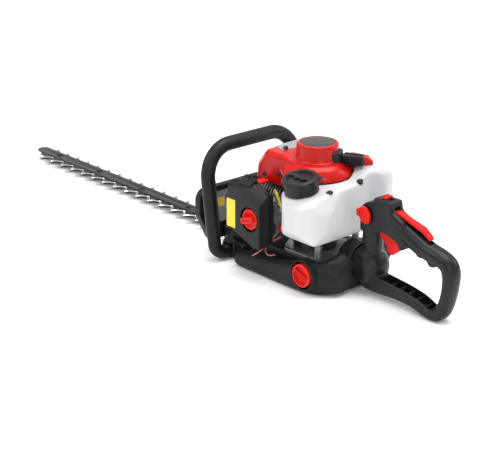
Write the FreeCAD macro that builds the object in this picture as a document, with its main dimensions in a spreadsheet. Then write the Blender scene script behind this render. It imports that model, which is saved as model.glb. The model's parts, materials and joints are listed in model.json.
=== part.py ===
import FreeCAD
import Part
import math
import os
import re
import Sketcher
from FreeCAD import Placement, Rotation, Vector

# Petrol hedge trimmer: double-sided cutter bar, gearcase, two-stroke engine, wishbone frame,
# front loop handle and a rear handle that swivels about the long axis.
# Frame: millimetres, origin on the rest face straight under the crankshaft, +X to the rear
# handle, +Y to the operator's right, +Z up.

doc = FreeCAD.newDocument("HedgeTrimmer")
sheet = doc.addObject("Spreadsheet::Sheet", "Sizes")
names = set()
nodes = []


def sizes(group, **values):
    """Write one group of driving dimensions to the sheet, one named cell each."""
    for name, value in values.items():
        row = len(names) + 1
        sheet.set("A%d" % row, group)
        sheet.set("B%d" % row, repr(value))
        sheet.setAlias("B%d" % row, name)
        names.add(name)


def linked(text):
    """Turn size names in an expression into references to the sheet."""
    def refer(found):
        word = found.group()
        return "Sizes." + word if word in names else word
    return re.sub(r"[a-z]\w+", refer, str(text))


def bind(obj, prop, text):
    obj.setExpression(prop, linked(text))


def value(text):
    """The number that an expression of size names gives now."""
    return float(sheet.evalExpression(linked(text)))


def place(obj, x, y, z, turn=None):
    obj.Placement = Placement(Vector(), turn or Rotation())
    bind(obj, "Placement.Base.x", x)
    bind(obj, "Placement.Base.y", y)
    bind(obj, "Placement.Base.z", z)
    return obj


turns = {
    "+X": Rotation(Vector(0, 1, 0), 90),
    "-X": Rotation(Vector(0, 1, 0), -90),
    "+Y": Rotation(Vector(1, 0, 0), -90),
    "-Y": Rotation(Vector(1, 0, 0), 90),
    "+Z": Rotation(),
    "-Z": Rotation(Vector(1, 0, 0), 180),
}


def box(x0, x1, y0, y1, z0, z1):
    """A block between two faces along each axis."""
    b = doc.addObject("Part::Box", "Block")
    bind(b, "Length", "(%s)-(%s)" % (x1, x0))
    bind(b, "Width", "(%s)-(%s)" % (y1, y0))
    bind(b, "Height", "(%s)-(%s)" % (z1, z0))
    return place(b, x0, y0, z0)


def rod(axis, x, y, z, length, radius):
    """A cylinder from a point along an axis."""
    c = doc.addObject("Part::Cylinder", "Rod")
    bind(c, "Radius", radius)
    bind(c, "Height", length)
    return place(c, x, y, z, turns[axis])


def cone(axis, x, y, z, length, radius_1, radius_2):
    c = doc.addObject("Part::Cone", "Cone")
    bind(c, "Radius1", radius_1)
    bind(c, "Radius2", radius_2)
    bind(c, "Height", length)
    return place(c, x, y, z, turns[axis])


def ball(x, y, z, radius):
    s = doc.addObject("Part::Sphere", "Ball")
    bind(s, "Radius", radius)
    return place(s, x, y, z)


def elbow(y, z, bend, radius, start):
    """A quarter bend in the YZ plane, from the start angle on, about a centre."""
    t = doc.addObject("Part::Torus", "Elbow")
    bind(t, "Radius1", bend)
    bind(t, "Radius2", radius)
    t.Angle3 = 90
    turn = Rotation(Vector(0, 1, 0), Vector(0, 0, 1), Vector(1, 0, 0), "ZXY")
    turn = Rotation(Vector(1, 0, 0), start).multiply(turn)
    return place(t, "0", y, z, turn)


def fuse(*parts):
    if len(parts) == 1:
        return parts[0]
    f = doc.addObject("Part::MultiFuse", "Fusion")
    f.Shapes = list(parts)
    return f


def cut(base, *tools):
    c = doc.addObject("Part::Cut", "Cut")
    c.Base = base
    c.Tool = fuse(*tools)
    return c


def cut_in_turn(base, *tools):
    """Cut tools one after another, for tools that share faces with each other."""
    for tool in tools:
        base = cut(base, tool)
    return base


def common(*parts):
    c = doc.addObject("Part::MultiCommon", "Common")
    c.Shapes = list(parts)
    return c


def group(parts):
    c = doc.addObject("Part::Compound", "Group")
    c.Links = list(parts)
    return c


def mirrored(source):
    """The same piece on the other side of the XZ plane."""
    m = doc.addObject("Part::Mirroring", "Mirror")
    m.Source = source
    m.Normal = Vector(0, 1, 0)
    return m


def both_sides(source):
    return group([source, mirrored(source)])


def node(label, obj):
    """Name a finished sub-part; the label is its file name."""
    obj.Label = label
    nodes.append(obj)
    return obj


def rounded(obj, radius, wanted):
    """Fillet the edges of a built object whose middle point passes a test."""
    doc.recompute()
    picked = []
    for i, edge in enumerate(obj.Shape.Edges):
        if wanted(edge):
            picked.append((i + 1, value(radius), value(radius)))
    f = doc.addObject("Part::Fillet", "Round")
    f.Base = obj
    f.Edges = picked
    return f


def runs_along(direction):
    """A test for straight edges parallel to a direction."""
    def test(edge):
        if not isinstance(edge.Curve, Part.Line):
            return False
        return abs(edge.tangentAt(edge.FirstParameter).dot(direction)) > 0.999
    return test


def sketch(body, role, offset, outlines):
    """A sketch on one of a body's own origin planes, moved along its normal.

    Each outline is a list of corners, given as expressions, each corner dimensioned to
    the origin; a circle is (u, v, radius)."""
    plane = [f for f in body.Origin.OriginFeatures if f.Role == role][0]
    s = body.newObject("Sketcher::SketchObject", "Sketch")
    s.AttachmentSupport = [(plane, "")]
    s.MapMode = "FlatFace"
    bind(s, ".AttachmentOffset.Base.z", offset)
    for outline in outlines:
        if isinstance(outline, tuple):
            u, v, radius = outline
            centre = Vector(value(u), value(v), 0)
            g = s.addGeometry(Part.Circle(centre, Vector(0, 0, 1), value(radius)), False)
            dimension(s, g, 3, u, v)
            k = s.addConstraint(Sketcher.Constraint("Radius", g, value(radius)))
            bind(s, "Constraints[%d]" % k, radius)
            continue
        points = [Vector(value(u), value(v), 0) for u, v in outline]
        first = s.GeometryCount
        count = len(points)
        for i in range(count):
            s.addGeometry(Part.LineSegment(points[i], points[(i + 1) % count]), False)
        for i in range(count):
            following = first + (i + 1) % count
            s.addConstraint(Sketcher.Constraint("Coincident", first + i, 2, following, 1))
        for i, (u, v) in enumerate(outline):
            dimension(s, first + i, 1, u, v)
    return s


def dimension(s, geometry, point, u, v):
    """Fix a point of a sketch by its two distances from the origin."""
    for kind, text in (("DistanceX", u), ("DistanceY", v)):
        k = s.addConstraint(Sketcher.Constraint(kind, -1, 1, geometry, point, value(text)))
        if value(text) != 0 or re.search("[a-z]", str(text)):
            bind(s, "Constraints[%d]" % k, text)


def new_body(name):
    return doc.addObject("PartDesign::Body", name)


def pad(body, role, offset, height, *outlines, both=False):
    """Pad outlines along the plane's normal; with both, half the height each way."""
    s = sketch(body, role, offset, outlines)
    p = body.newObject("PartDesign::Pad", "Pad")
    p.Profile = (s, [""])
    bind(p, "Length", height)
    p.Midplane = both
    body.Tip = p
    return p


def pocket(body, role, offset, depth, *outlines, both=False, reversed_way=False):
    """Cut outlines out of a body and make sure that something was cut."""
    doc.recompute()
    before = body.Shape.Volume
    s = sketch(body, role, offset, outlines)
    p = body.newObject("PartDesign::Pocket", "Pocket")
    p.Profile = (s, [""])
    bind(p, "Length", depth)
    p.Midplane = both
    p.Reversed = reversed_way
    body.Tip = p
    doc.recompute()
    if body.Shape.Volume > before - 0.001:
        raise RuntimeError("pocket cuts nothing in " + body.Name)
    return p


def soften(body, feature, radius, wanted):
    """A PartDesign fillet on the edges of the last feature that pass a test."""
    doc.recompute()
    picked = ["Edge%d" % (i + 1) for i, e in enumerate(feature.Shape.Edges) if wanted(e)]
    f = body.newObject("PartDesign::Fillet", "Fillet")
    f.Base = (feature, picked)
    bind(f, "Radius", radius)
    body.Tip = f
    return f


def polar(body, feature, axis, count):
    p = body.newObject("PartDesign::PolarPattern", "Pattern")
    p.Originals = [feature]
    line = [f for f in body.Origin.OriginFeatures if f.Role == axis][0]
    p.Axis = (line, [""])
    p.Angle = 360
    bind(p, "Occurrences", count)
    body.Tip = p
    return p


def line_pattern(body, features, axis, length, count):
    p = body.newObject("PartDesign::LinearPattern", "Row")
    p.Originals = list(features)
    line = [f for f in body.Origin.OriginFeatures if f.Role == axis][0]
    p.Direction = (line, [""])
    bind(p, "Length", length)
    bind(p, "Occurrences", count)
    body.Tip = p
    return p


X = Vector(1, 0, 0)
Y = Vector(0, 1, 0)
Z = Vector(0, 0, 1)

sizes("clearances", fit_gap=0.02, run_gap=0.05, slide_gap=0.3)
sizes("cutter", pitch=35.0, teeth=17, tooth_lead=-768.0, tooth_half_w=28.85, spine_half_w=12.0,
      tooth_root_from=9.0, tooth_root_to=24.0, tooth_flat=4.0, blade_thick=2.5, bar_thick=3.5,
      blade_low=11.6, stroke_half=8.0, nose_len=40.0, blade_nose=28.0, bolt_r=2.5, bolt_head_r=4.5,
      bolt_head_high=2.6, bolt_step=137.0, bolt_count=5, bolt_first=-741.0, tail_half_w=30.0,
      bar_tail_x=-12.0, gear_clear_r=24.0)
sizes("gearcase", case_front=-178.0, case_rear=30.0, case_half_w=50.0, case_wall=6.0, floor_high=10.0,
      case_top=40.0, roof_low=33.0, case_round=10.0, drum_cup_r=34.0, drum_cup_in=31.0, cup_top=64.0)
sizes("drive", gear_x=-50.0, gear_teeth=66, pinion_teeth=14, module_size=1.25, gear_low=22.0,
      gear_thick=7.0, tooth_half_root=1.0, tooth_half_tip=0.35, addendum=1.15, dedendum=1.5,
      eccentric_r=15.0, eccentric_throw=8.0, gear_pin_r=5.0, gear_hub_r=10.0, yoke_rail=6.5)
sizes("clutch", drum_r=30.0, drum_wall=2.0, drum_low=42.0, drum_floor=3.0, drum_high=62.0,
      shoe_r=26.0, shoe_high=14.0, shaft_r=8.0, pinion_shaft_r=4.0, bearing_r=14.0)
sizes("engine", crank_z=108.0, web_r=24.0, web_thick=8.0, web_gap=10.0, crankcase_r=36.0,
      crankcase_low=66.0, crankcase_high=150.0, cavity_r=27.5, main_bearing_r=16.0,
      main_bearing_high=12.0, crank_throw=14.0, rod_len=54.0, rod_thick=9.0, crank_pin_r=6.0,
      big_end_r=10.0, small_end_r=7.0, wrist_pin_r=4.0, bore_r=17.0, liner_r=21.0, piston_up=16.0,
      piston_down=12.0, head_x=-100.0, head_thick=8.0, deck_x=-36.0, fin_r=35.5, fin_thick=2.0,
      fin_count=10, fin_step=6.0)


def guide_bar():
    """Long steel bar over the two blades, widened inside the gearcase."""
    body = new_body("GuideBar")
    low = "blade_low+2*blade_thick+2*slide_gap"
    tip = "tooth_lead-nose_len"
    tail = "case_front"
    outline = [(tip + "+8", "-spine_half_w"), (tail, "-spine_half_w"), (tail, "-tail_half_w"),
               ("bar_tail_x", "-tail_half_w"), ("bar_tail_x", "tail_half_w"), (tail, "tail_half_w"),
               (tail, "spine_half_w"), (tip + "+8", "spine_half_w"), (tip, "spine_half_w-6"),
               (tip, "6-spine_half_w")]
    pad(body, "XY_Plane", low, "bar_thick", outline)
    pocket(body, "XY_Plane", low, "bar_thick+1", ("gear_x", "0", "gear_clear_r"), reversed_way=True)
    for i in range(int(value("bolt_count"))):
        hole = ("bolt_first+%d*bolt_step" % i, "0", "bolt_r+fit_gap")
        pocket(body, "XY_Plane", low, "bar_thick+1", hole, reversed_way=True)
    return node("guide_bar", body)


def blade(label, low):
    """One reciprocating blade with swept teeth on both edges and a yoke at its tail."""
    body = new_body(label)
    nose = "tooth_lead-blade_nose"
    tail = "gear_x+eccentric_r+2*eccentric_throw+yoke_rail"
    spine = [(nose + "+6", "-spine_half_w"), ("case_front+4", "-spine_half_w"),
             ("case_front+4", "-tail_half_w"), (tail, "-tail_half_w"), (tail, "tail_half_w"),
             ("case_front+4", "tail_half_w"), ("case_front+4", "spine_half_w"),
             (nose + "+6", "spine_half_w"), (nose, "spine_half_w-6"), (nose, "6-spine_half_w")]
    pad(body, "XY_Plane", low, "blade_thick", spine)
    for side, shift in (("-", "0"), ("", "-pitch/2")):
        lead = "tooth_lead+%s" % shift
        tooth = [(lead + "+tooth_root_from", side + "(spine_half_w-1)"),
                 (lead, side + "tooth_half_w"),
                 (lead + "+tooth_flat", side + "tooth_half_w"),
                 (lead + "+tooth_root_to", side + "(spine_half_w-1)")]
        one = pad(body, "XY_Plane", low, "blade_thick", tooth)
        doc.recompute()
        line_pattern(body, [one], "X_Axis", "pitch*(teeth-1)", "teeth")
        doc.recompute()
    half_x = "eccentric_r+2*eccentric_throw+0.5"
    half_y = "eccentric_r+eccentric_throw+0.5"
    yoke = [("gear_x-(%s)" % half_x, "-(%s)" % half_y), ("gear_x+%s" % half_x, "-(%s)" % half_y),
            ("gear_x+%s" % half_x, half_y), ("gear_x-(%s)" % half_x, half_y)]
    pocket(body, "XY_Plane", low, "blade_thick+1", yoke, reversed_way=True)
    for i in range(int(value("bolt_count"))):
        x = "bolt_first+%d*bolt_step" % i
        reach = "(stroke_half+bolt_r+slide_gap)"
        half = "(bolt_r+slide_gap)"
        slot = [(x + "-" + reach, "-" + half), (x + "+" + reach, "-" + half),
                (x + "+" + reach, half), (x + "-" + reach, half)]
        pocket(body, "XY_Plane", low, "blade_thick+1", slot, reversed_way=True)
    return node(label, body)


def blade_bolts():
    """Shouldered bolts that hold the blades under the bar, heads below and nuts above."""
    bolts = []
    for i in range(int(value("bolt_count"))):
        x = "bolt_first+%d*bolt_step" % i
        head_low = "blade_low-slide_gap-bolt_head_high"
        top = "blade_low+2*blade_thick+2*slide_gap+bar_thick"
        shank = rod("+Z", x, "0", head_low, top + "-(%s)+bolt_head_high" % head_low, "bolt_r")
        head = rod("+Z", x, "0", head_low, "bolt_head_high", "bolt_head_r")
        nut = rod("+Z", x, "0", top, "bolt_head_high", "bolt_head_r")
        bolts.append(fuse(shank, head, nut))
    return node("blade_bolts", group(bolts))


def gearcase():
    """Cast gearcase in two halves; the lower half is the flat skid the machine rests on."""
    span = ("case_front", "case_rear", "-case_half_w", "case_half_w")
    lower = box(*span, "0", "floor_high")
    lower = rounded(lower, "case_round", runs_along(Z))
    pin = rod("+Z", "gear_x", "0", "floor_high-6", "roof_low+4-floor_high+6", "gear_pin_r")
    node("gearcase_lower", fuse(lower, pin))
    shell = rounded(box(*span, "floor_high", "case_top"), "case_round", runs_along(Z))
    cup = rod("+Z", "0", "0", "case_top", "cup_top-case_top", "drum_cup_r")
    wall = "case_half_w-case_wall"
    cavity = box("case_front-1", "case_rear-case_wall+3", "-(%s)" % wall, wall, "floor_high-1", "roof_low")
    bearing_hole = rod("+Z", "0", "0", "roof_low-1", "case_top-roof_low+2", "bearing_r+fit_gap")
    cup_room = rod("+Z", "0", "0", "case_top", "cup_top-case_top+1", "drum_cup_in")
    pin_hole = rod("+Z", "gear_x", "0", "roof_low-1", "5", "gear_pin_r+fit_gap")
    node("gearcase_upper", cut(fuse(shell, cup), cavity, bearing_hole, cup_room, pin_hole))


def gear_outline(teeth, phase):
    """Root circle and one tooth polygon of a spur gear, as sizes for a pad and a pattern."""
    pitch_r = "(module_size*%s/2)" % teeth
    root = pitch_r + "-dedendum"
    tip = pitch_r + "+addendum"
    corners = []
    for radius, half in ((root + "-0.8", "-tooth_half_root"), (tip, "-tooth_half_tip"),
                         (tip, "tooth_half_tip"), (root + "-0.8", "tooth_half_root")):
        u = "(%s)*cos(%s)-(%s)*sin(%s)" % (radius, phase, half, phase)
        v = "(%s)*sin(%s)+(%s)*cos(%s)" % (radius, phase, half, phase)
        corners.append((u, v))
    return ("0", "0", root), corners


def gear(label, teeth, phase, centre_x, bore):
    """A spur gear, made about its own axis and placed on its shaft."""
    body = new_body(label)
    rim, tooth = gear_outline(teeth, phase)
    pad(body, "XY_Plane", "gear_low", "gear_thick", rim)
    doc.recompute()
    one = pad(body, "XY_Plane", "gear_low", "gear_thick", tooth)
    doc.recompute()
    polar(body, one, "Z_Axis", teeth)
    pocket(body, "XY_Plane", "gear_low", "gear_thick+1", ("0", "0", bore), reversed_way=True)
    bind(body, "Placement.Base.x", centre_x)
    return body


def drive_train():
    """Pinion on the clutch drum shaft, large gear with two opposed eccentrics on a fixed pin."""
    bottom = "blade_low"
    hub = rod("+Z", "gear_x", "0", bottom, "gear_low-(%s)" % bottom, "gear_hub_r")
    lower = rod("+Z", "gear_x", "-eccentric_throw", bottom, "blade_thick", "eccentric_r")
    upper = rod("+Z", "gear_x", "eccentric_throw", "blade_low+blade_thick+slide_gap", "blade_thick",
                "eccentric_r")
    bore = rod("+Z", "gear_x", "0", "blade_low-1", "gear_low-blade_low+2", "gear_pin_r+run_gap")
    wheel = gear("DriveGear", "gear_teeth", "0", "gear_x", "gear_pin_r+run_gap")
    node("drive_gear", fuse(cut(fuse(hub, lower, upper), bore), wheel))
    half_step = "180/pinion_teeth"
    node("drive_pinion", gear("DrivePinion", "pinion_teeth", half_step, "0", "pinion_shaft_r+fit_gap"))


def clutch():
    """Clutch drum on the pinion shaft and the shoes on the crankshaft's lower end."""
    cup = rod("+Z", "0", "0", "drum_low", "drum_high-drum_low", "drum_r")
    room = rod("+Z", "0", "0", "drum_low+drum_floor", "drum_high-drum_low", "drum_r-drum_wall")
    neck = rod("+Z", "0", "0", "gear_low+gear_thick+0.5", "drum_low-gear_low-gear_thick-0.5", "shaft_r")
    stub = rod("+Z", "0", "0", "gear_low", "gear_thick+0.5", "pinion_shaft_r")
    node("clutch_drum", fuse(cut(cup, room), neck, stub))
    disc = rod("+Z", "0", "0", "drum_low+drum_floor+1.5", "shoe_high", "shoe_r")
    split = box("-1.5", "1.5", "-shoe_r-1", "shoe_r+1", "drum_low", "drum_high+2")
    split_2 = box("-shoe_r-1", "shoe_r+1", "-1.5", "1.5", "drum_low", "drum_high+2")
    outer = cut(cut(disc, rod("+Z", "0", "0", "drum_low", "30", "shaft_r+5")), split, split_2)
    plate = cut(rod("+Z", "0", "0", "drum_low+drum_floor+1.5+shoe_high", "2", "shoe_r-4"),
                rod("+Z", "0", "0", "drum_low", "30", "shaft_r+fit_gap"))
    node("clutch_shoes", fuse(outer, plate))


def crankcase():
    """Two crankcase halves split at the cylinder axis, with main bearings."""
    span = "web_gap/2+web_thick+2"
    pocket_low = "crank_z-(%s)-main_bearing_high" % span
    holes = [rod("+Z", "0", "0", "crank_z-(%s)" % span, "2*(%s)" % span, "cavity_r"),
             rod("+Z", "0", "0", pocket_low, "2*(crank_z-(%s))" % pocket_low, "main_bearing_r+fit_gap"),
             rod("+Z", "0", "0", "crankcase_low-1", "crankcase_high-crankcase_low+2", "shaft_r+0.5"),
             rod("-X", "0", "0", "crank_z", "60", "bore_r+0.6")]
    for label, z0, z1 in (("crankcase_lower", "crankcase_low", "crank_z"),
                          ("crankcase_upper", "crank_z", "crankcase_high")):
        barrel = rod("+Z", "0", "0", z0, "(%s)-(%s)" % (z1, z0), "crankcase_r")
        neck_low = "crank_z-liner_r-3" if label.endswith("lower") else "crank_z"
        neck_high = "crank_z" if label.endswith("lower") else "crank_z+liner_r+3"
        neck = box("deck_x", "-10", "-liner_r-3", "liner_r+3", neck_low, neck_high)
        solids = [barrel, neck]
        if label.endswith("lower"):
            solids.append(rod("+Z", "0", "0", "cup_top", "crankcase_low-cup_top", "crankcase_r"))
        holes_here = holes
        if label.endswith("lower"):
            holes_here = holes + [rod("+Z", "0", "0", "cup_top-1", "3.5", "drum_r")]
        node(label, cut(fuse(*solids), *holes_here))
    ring = rod("+Z", "0", "0", "roof_low+0.5", "case_top-roof_low-1", "bearing_r")
    rings = [cut(ring, rod("+Z", "0", "0", "roof_low-1", "9", "shaft_r+run_gap"))]
    for low in (pocket_low, "crank_z+%s" % span):
        ring = rod("+Z", "0", "0", low, "main_bearing_high", "main_bearing_r")
        rings.append(cut(ring, rod("+Z", "0", "0", low, "main_bearing_high+1", "shaft_r+run_gap")))
    node("shaft_bearings", group(rings))


def crankshaft():
    """Crankshaft halves; the pin and rod between them are carried by the piston train."""
    low_web = "crank_z-web_gap/2-web_thick"
    web = rod("+Z", "0", "0", low_web, "web_thick", "web_r")
    shaft_low = "drum_low+drum_floor+1.5"
    shaft = rod("+Z", "0", "0", shaft_low, "%s-(%s)" % (low_web, shaft_low), "shaft_r")
    high_web = rod("+Z", "0", "0", "crank_z+web_gap/2", "web_thick", "web_r")
    high = rod("+Z", "0", "0", "crank_z+web_gap/2", "flywheel_low+flywheel_high-crank_z-web_gap/2",
               "shaft_r")
    node("crankshaft", group([fuse(web, shaft), fuse(high_web, high)]))


def piston_train():
    """Piston at top dead centre with its wrist pin, connecting rod and crank pin."""
    pin_x = "-crank_throw"
    wrist_x = "-crank_throw-rod_len"
    low = "crank_z-rod_thick/2"
    big = rod("+Z", pin_x, "0", low, "rod_thick", "big_end_r")
    small = rod("+Z", wrist_x, "0", low, "rod_thick", "small_end_r")
    shank = box(wrist_x, pin_x, "-3.5", "3.5", low, low + "+rod_thick")
    big_hole = rod("+Z", pin_x, "0", low + "-1", "rod_thick+2", "crank_pin_r+fit_gap")
    small_hole = rod("+Z", wrist_x, "0", low + "-1", "rod_thick+2", "wrist_pin_r+fit_gap")
    node("connecting_rod", cut(fuse(big, small, shank), big_hole, small_hole))
    crank_pin = rod("+Z", pin_x, "0", low, "rod_thick", "crank_pin_r")
    crown = "%s-piston_up" % wrist_x
    outer = rod("+X", crown, "0", "crank_z", "piston_up+piston_down", "bore_r-run_gap")
    room = box("%s+6" % crown, "%s+piston_down+1" % wrist_x, "-9", "9", low + "-0.5", low + "+rod_thick+0.5")
    skirt = rod("+X", "%s+2" % wrist_x, "0", "crank_z", "piston_down", "bore_r-3")
    pin_hole = rod("+Z", wrist_x, "0", "crank_z-bore_r", "2*bore_r", "wrist_pin_r+fit_gap")
    node("piston", cut(outer, room, skirt, pin_hole))
    wrist_pin = rod("+Z", wrist_x, "0", "crank_z-14", "28", "wrist_pin_r")
    node("rod_pins", group([crank_pin, wrist_pin]))


def cylinder():
    """Finned cylinder with its head at the front, and the spark plug in it."""
    length = "deck_x-head_x"
    solids = [rod("+X", "head_x", "0", "crank_z", length, "liner_r"),
              rod("+X", "head_x", "0", "crank_z", "head_thick", "fin_r-4"),
              box("deck_x-5", "deck_x", "-liner_r-3", "liner_r+3", "crank_z-liner_r-3", "crank_z+liner_r+3")]
    for i in range(int(value("fin_count"))):
        solids.append(rod("+X", "head_x+%d*fin_step" % i, "0", "crank_z", "fin_thick", "fin_r"))
    bore = rod("+X", "head_x+head_thick", "0", "crank_z", length, "bore_r")
    plug_hole = rod("+X", "head_x-1", "0", "crank_z", "head_thick+2", "plug_thread_r+fit_gap")
    node("cylinder", cut(fuse(*solids), bore, plug_hole))
    thread = rod("-X", "head_x+head_thick-1", "0", "crank_z", "head_thick-1", "plug_thread_r")
    hexagon = rod("-X", "head_x", "0", "crank_z", "6", "9")
    ceramic = rod("-X", "head_x-6", "0", "crank_z", "12", "5")
    node("spark_plug", fuse(thread, hexagon, ceramic))
    boot = rod("-X", "head_x-8", "0", "crank_z", "18", "8")
    boot_hole = rod("-X", "head_x-7", "0", "crank_z", "11.5", "5+fit_gap")
    arm = rod("+Z", "head_x-19", "0", "crank_z", "16", "5")
    node("spark_plug_cap", cut(fuse(boot, arm), boot_hole))


sizes("flywheel", plug_thread_r=6.0, flywheel_low=152.0, flywheel_high=24.0, flywheel_r=44.0,
      reel_low=190.5, reel_high=13.0, reel_r=28.0, cup_r=21.0)
sizes("starter", dome_top=220.0, dome_r=34.5, neck_z=193.0, neck_r=44.0, shoulder_z=180.0,
      shoulder_r=60.0, skirt_low=168.0, cover_wall=2.5, badge_r=27.5, badge_thick=1.6, shroud_front=-104.0,
      shroud_half_w=47.0, shroud_low=147.0, shroud_top=197.0, post_r=5.0, rope_angle=27.0, rope_z=197.0,
      rope_r=1.75, guide_r=6.0, guide_out=50.0, grip_len=26.0, grip_w=15.0, grip_high=11.0)
sizes("exhaust", muffler_x0=-84.0, muffler_x1=-16.0, muffler_y0=36.3, muffler_y1=84.0,
      muffler_z0=76.0, muffler_z1=138.0, muffler_round=8.0, guard_gap=2.0, guard_wall=2.0)
sizes("intake", insulator_y=-45.0, carb_x0=-56.0, carb_x1=-22.0, carb_y=-72.0, carb_z0=92.0,
      carb_z1=124.0, venturi_r=8.0, base_y=-85.0, base_x0=-97.0, base_x1=-18.0, base_z0=59.0,
      base_z1=146.0, cover_x0=-100.0, cover_x1=-15.0, cover_y=-108.0, cover_z0=56.0, cover_z1=149.0,
      air_wall=2.5, knob_x=-43.0, knob_z=102.0, knob_r=17.5, knob_recess_r=21.0, knob_recess=6.0,
      knob_screw_r=3.0, bulb_r=8.0)


def flywheel():
    """Finned flywheel with magnets' rim, and the starter's pawl cup on top of it."""
    disc = rod("+Z", "0", "0", "flywheel_low", "flywheel_high/2", "flywheel_r")
    hub = rod("+Z", "0", "0", "flywheel_low", "flywheel_high", "14")
    vanes = []
    for i in range(12):
        vane = box("16", "flywheel_r-2", "-1", "1", "flywheel_low+flywheel_high/2",
                   "flywheel_low+flywheel_high-4")
        spun = doc.addObject("Part::Compound", "Vane")
        spun.Links = [vane]
        spun.Placement = Placement(Vector(), Rotation(Z, 30 * i))
        vanes.append(spun)
    bore = rod("+Z", "0", "0", "flywheel_low-1", "flywheel_high+2", "shaft_r+fit_gap")
    wheel = cut(fuse(disc, hub, *vanes), bore)
    floor = rod("+Z", "0", "0", "flywheel_low+flywheel_high", "3", "cup_r")
    rim = rod("+Z", "0", "0", "flywheel_low+flywheel_high", "8", "cup_r")
    room = rod("+Z", "0", "0", "flywheel_low+flywheel_high+3", "6", "cup_r-2.5")
    node("flywheel", group([wheel, fuse(cut(rim, room), floor)]))


def cover_solid(inset):
    """The starter dome and engine shroud as one block, every face moved in by an inset."""
    z0 = "skirt_low-1" if inset != "0" else "skirt_low"
    dome = cone("+Z", "0", "0", "neck_z-(%s)" % inset, "dome_top-neck_z", "neck_r-7-(%s)" % inset,
                "dome_r-(%s)" % inset)
    flare = cone("+Z", "0", "0", "shoulder_z-(%s)" % inset, "neck_z-shoulder_z", "shoulder_r-(%s)" % inset,
                 "neck_r-(%s)" % inset)
    wall = rod("+Z", "0", "0", z0, "shoulder_z-(%s)-(%s)" % (inset, z0), "shoulder_r-(%s)" % inset)
    body = new_body("Shroud")
    low = "shroud_low-1" if inset != "0" else "shroud_low"
    front = "shroud_front+(%s)" % inset
    side = [(front, low), ("8", low), ("8", "shroud_top-(%s)-6" % inset), ("-44", "shroud_top-(%s)" % inset),
            ("-74", "shroud_top-(%s)" % inset), ("shroud_front+16+(%s)" % inset, "shroud_top-18"),
            (front, "shroud_top-30")]
    pad(body, "XZ_Plane", "0", "2*(shroud_half_w-(%s))" % inset, side, both=True)
    shroud = rounded(body, "9", lambda e: runs_along(X)(e) and e.CenterOfMass.z > value("shroud_top") - 12)
    cap_room = tilted(rod("+Z", "0", "0", "-20", "80", "cap_r+1.5+(%s)" % inset))
    return cut(fuse(dome, flare, wall, shroud), cap_room)


def starter():
    """Red starter dome with the engine shroud, its reel, recoil spring, rope guide and grip."""
    along = Rotation(Z, value("rope_angle"))
    shell = cut(cover_solid("0"), cover_solid("cover_wall"))
    post = rod("+Z", "0", "0", "reel_low-2", "dome_top-cover_wall-reel_low+3", "post_r")
    guide_hole = rod("+X", "20", "0", "rope_z", "60", "guide_r+fit_gap")
    turned_hole = group([guide_hole])
    turned_hole.Placement = Placement(Vector(), along)
    badge_seat = rod("+Z", "0", "0", "dome_top-badge_thick", "badge_thick+1", "badge_r+fit_gap")
    node("starter_cover", cut(fuse(shell, post), turned_hole, badge_seat))
    node("cover_badge", rod("+Z", "0", "0", "dome_top-badge_thick", "badge_thick+0.6", "badge_r"))
    drum = rod("+Z", "0", "0", "reel_low", "reel_high", "reel_r")
    groove = cut(rod("+Z", "0", "0", "reel_low+2", "reel_high-4", "reel_r+1"),
                 rod("+Z", "0", "0", "reel_low", "reel_high", "reel_r-9"))
    bore = rod("+Z", "0", "0", "reel_low-1", "reel_high+2", "post_r+run_gap")
    node("starter_reel", cut(drum, groove, bore))
    coil = cut(rod("+Z", "0", "0", "reel_low+2.5", "reel_high-5", "reel_r-2"),
               rod("+Z", "0", "0", "reel_low", "reel_high", "reel_r-9+fit_gap"))
    node("starter_rope", coil)
    spring_low = "reel_low+reel_high+0.5"
    spring = cut(rod("+Z", "0", "0", spring_low, "6", "reel_r-3"),
                 rod("+Z", "0", "0", spring_low, "6", "12"))
    floor = rod("+Z", "0", "0", spring_low, "6", "post_r+2")
    strip = box("post_r", "14", "-0.6", "0.6", spring_low, spring_low + "+6")
    spring_bore = rod("+Z", "0", "0", "reel_low", "60", "post_r+fit_gap")
    node("recoil_spring", cut(fuse(spring, floor, strip), spring_bore))
    ring = rod("+X", "reel_r+3", "0", "rope_z", "guide_out-reel_r-3", "guide_r")
    guide = cut(ring, rod("+X", "0", "0", "rope_z", "90", "rope_r+0.6"))
    bar = box("guide_out+0.5", "guide_out+0.5+grip_len", "-grip_w/2", "grip_w/2", "rope_z-grip_high/2",
              "rope_z+grip_high/2")
    bar = rounded(bar, "3", runs_along(X))
    tail_hole = rod("+X", "0", "0", "rope_z", "guide_out+12", "rope_r+fit_gap")
    grip = cut(bar, tail_hole)
    tail = rod("+X", "reel_r+2", "0", "rope_z", "guide_out+11-reel_r-2", "rope_r")
    for label, part in (("rope_guide", guide), ("starter_grip", grip), ("rope_tail", tail)):
        turned = group([part])
        turned.Placement = Placement(Vector(), along)
        node(label, turned)
    screws = [rod("-Y", "-80", "-shroud_half_w", "156", "2.5", "4"),
              rod("-Y", "-40", "-shroud_half_w", "162", "2.5", "4"),
              rod("+Y", "-80", "shroud_half_w", "156", "2.5", "4"),
              rod("+Y", "-40", "shroud_half_w", "162", "2.5", "4"),
              rod("+Z", "-60", "-20", "shroud_top", "2", "4")]
    for x in ("case_front+12", "-95", "-20", "case_rear-8"):
        for side in ("-", ""):
            screws.append(rod("+Z", x, "%s(case_half_w-3.2)" % side, "case_top", "2.5", "3"))
    node("housing_screws", group(screws))


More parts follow.
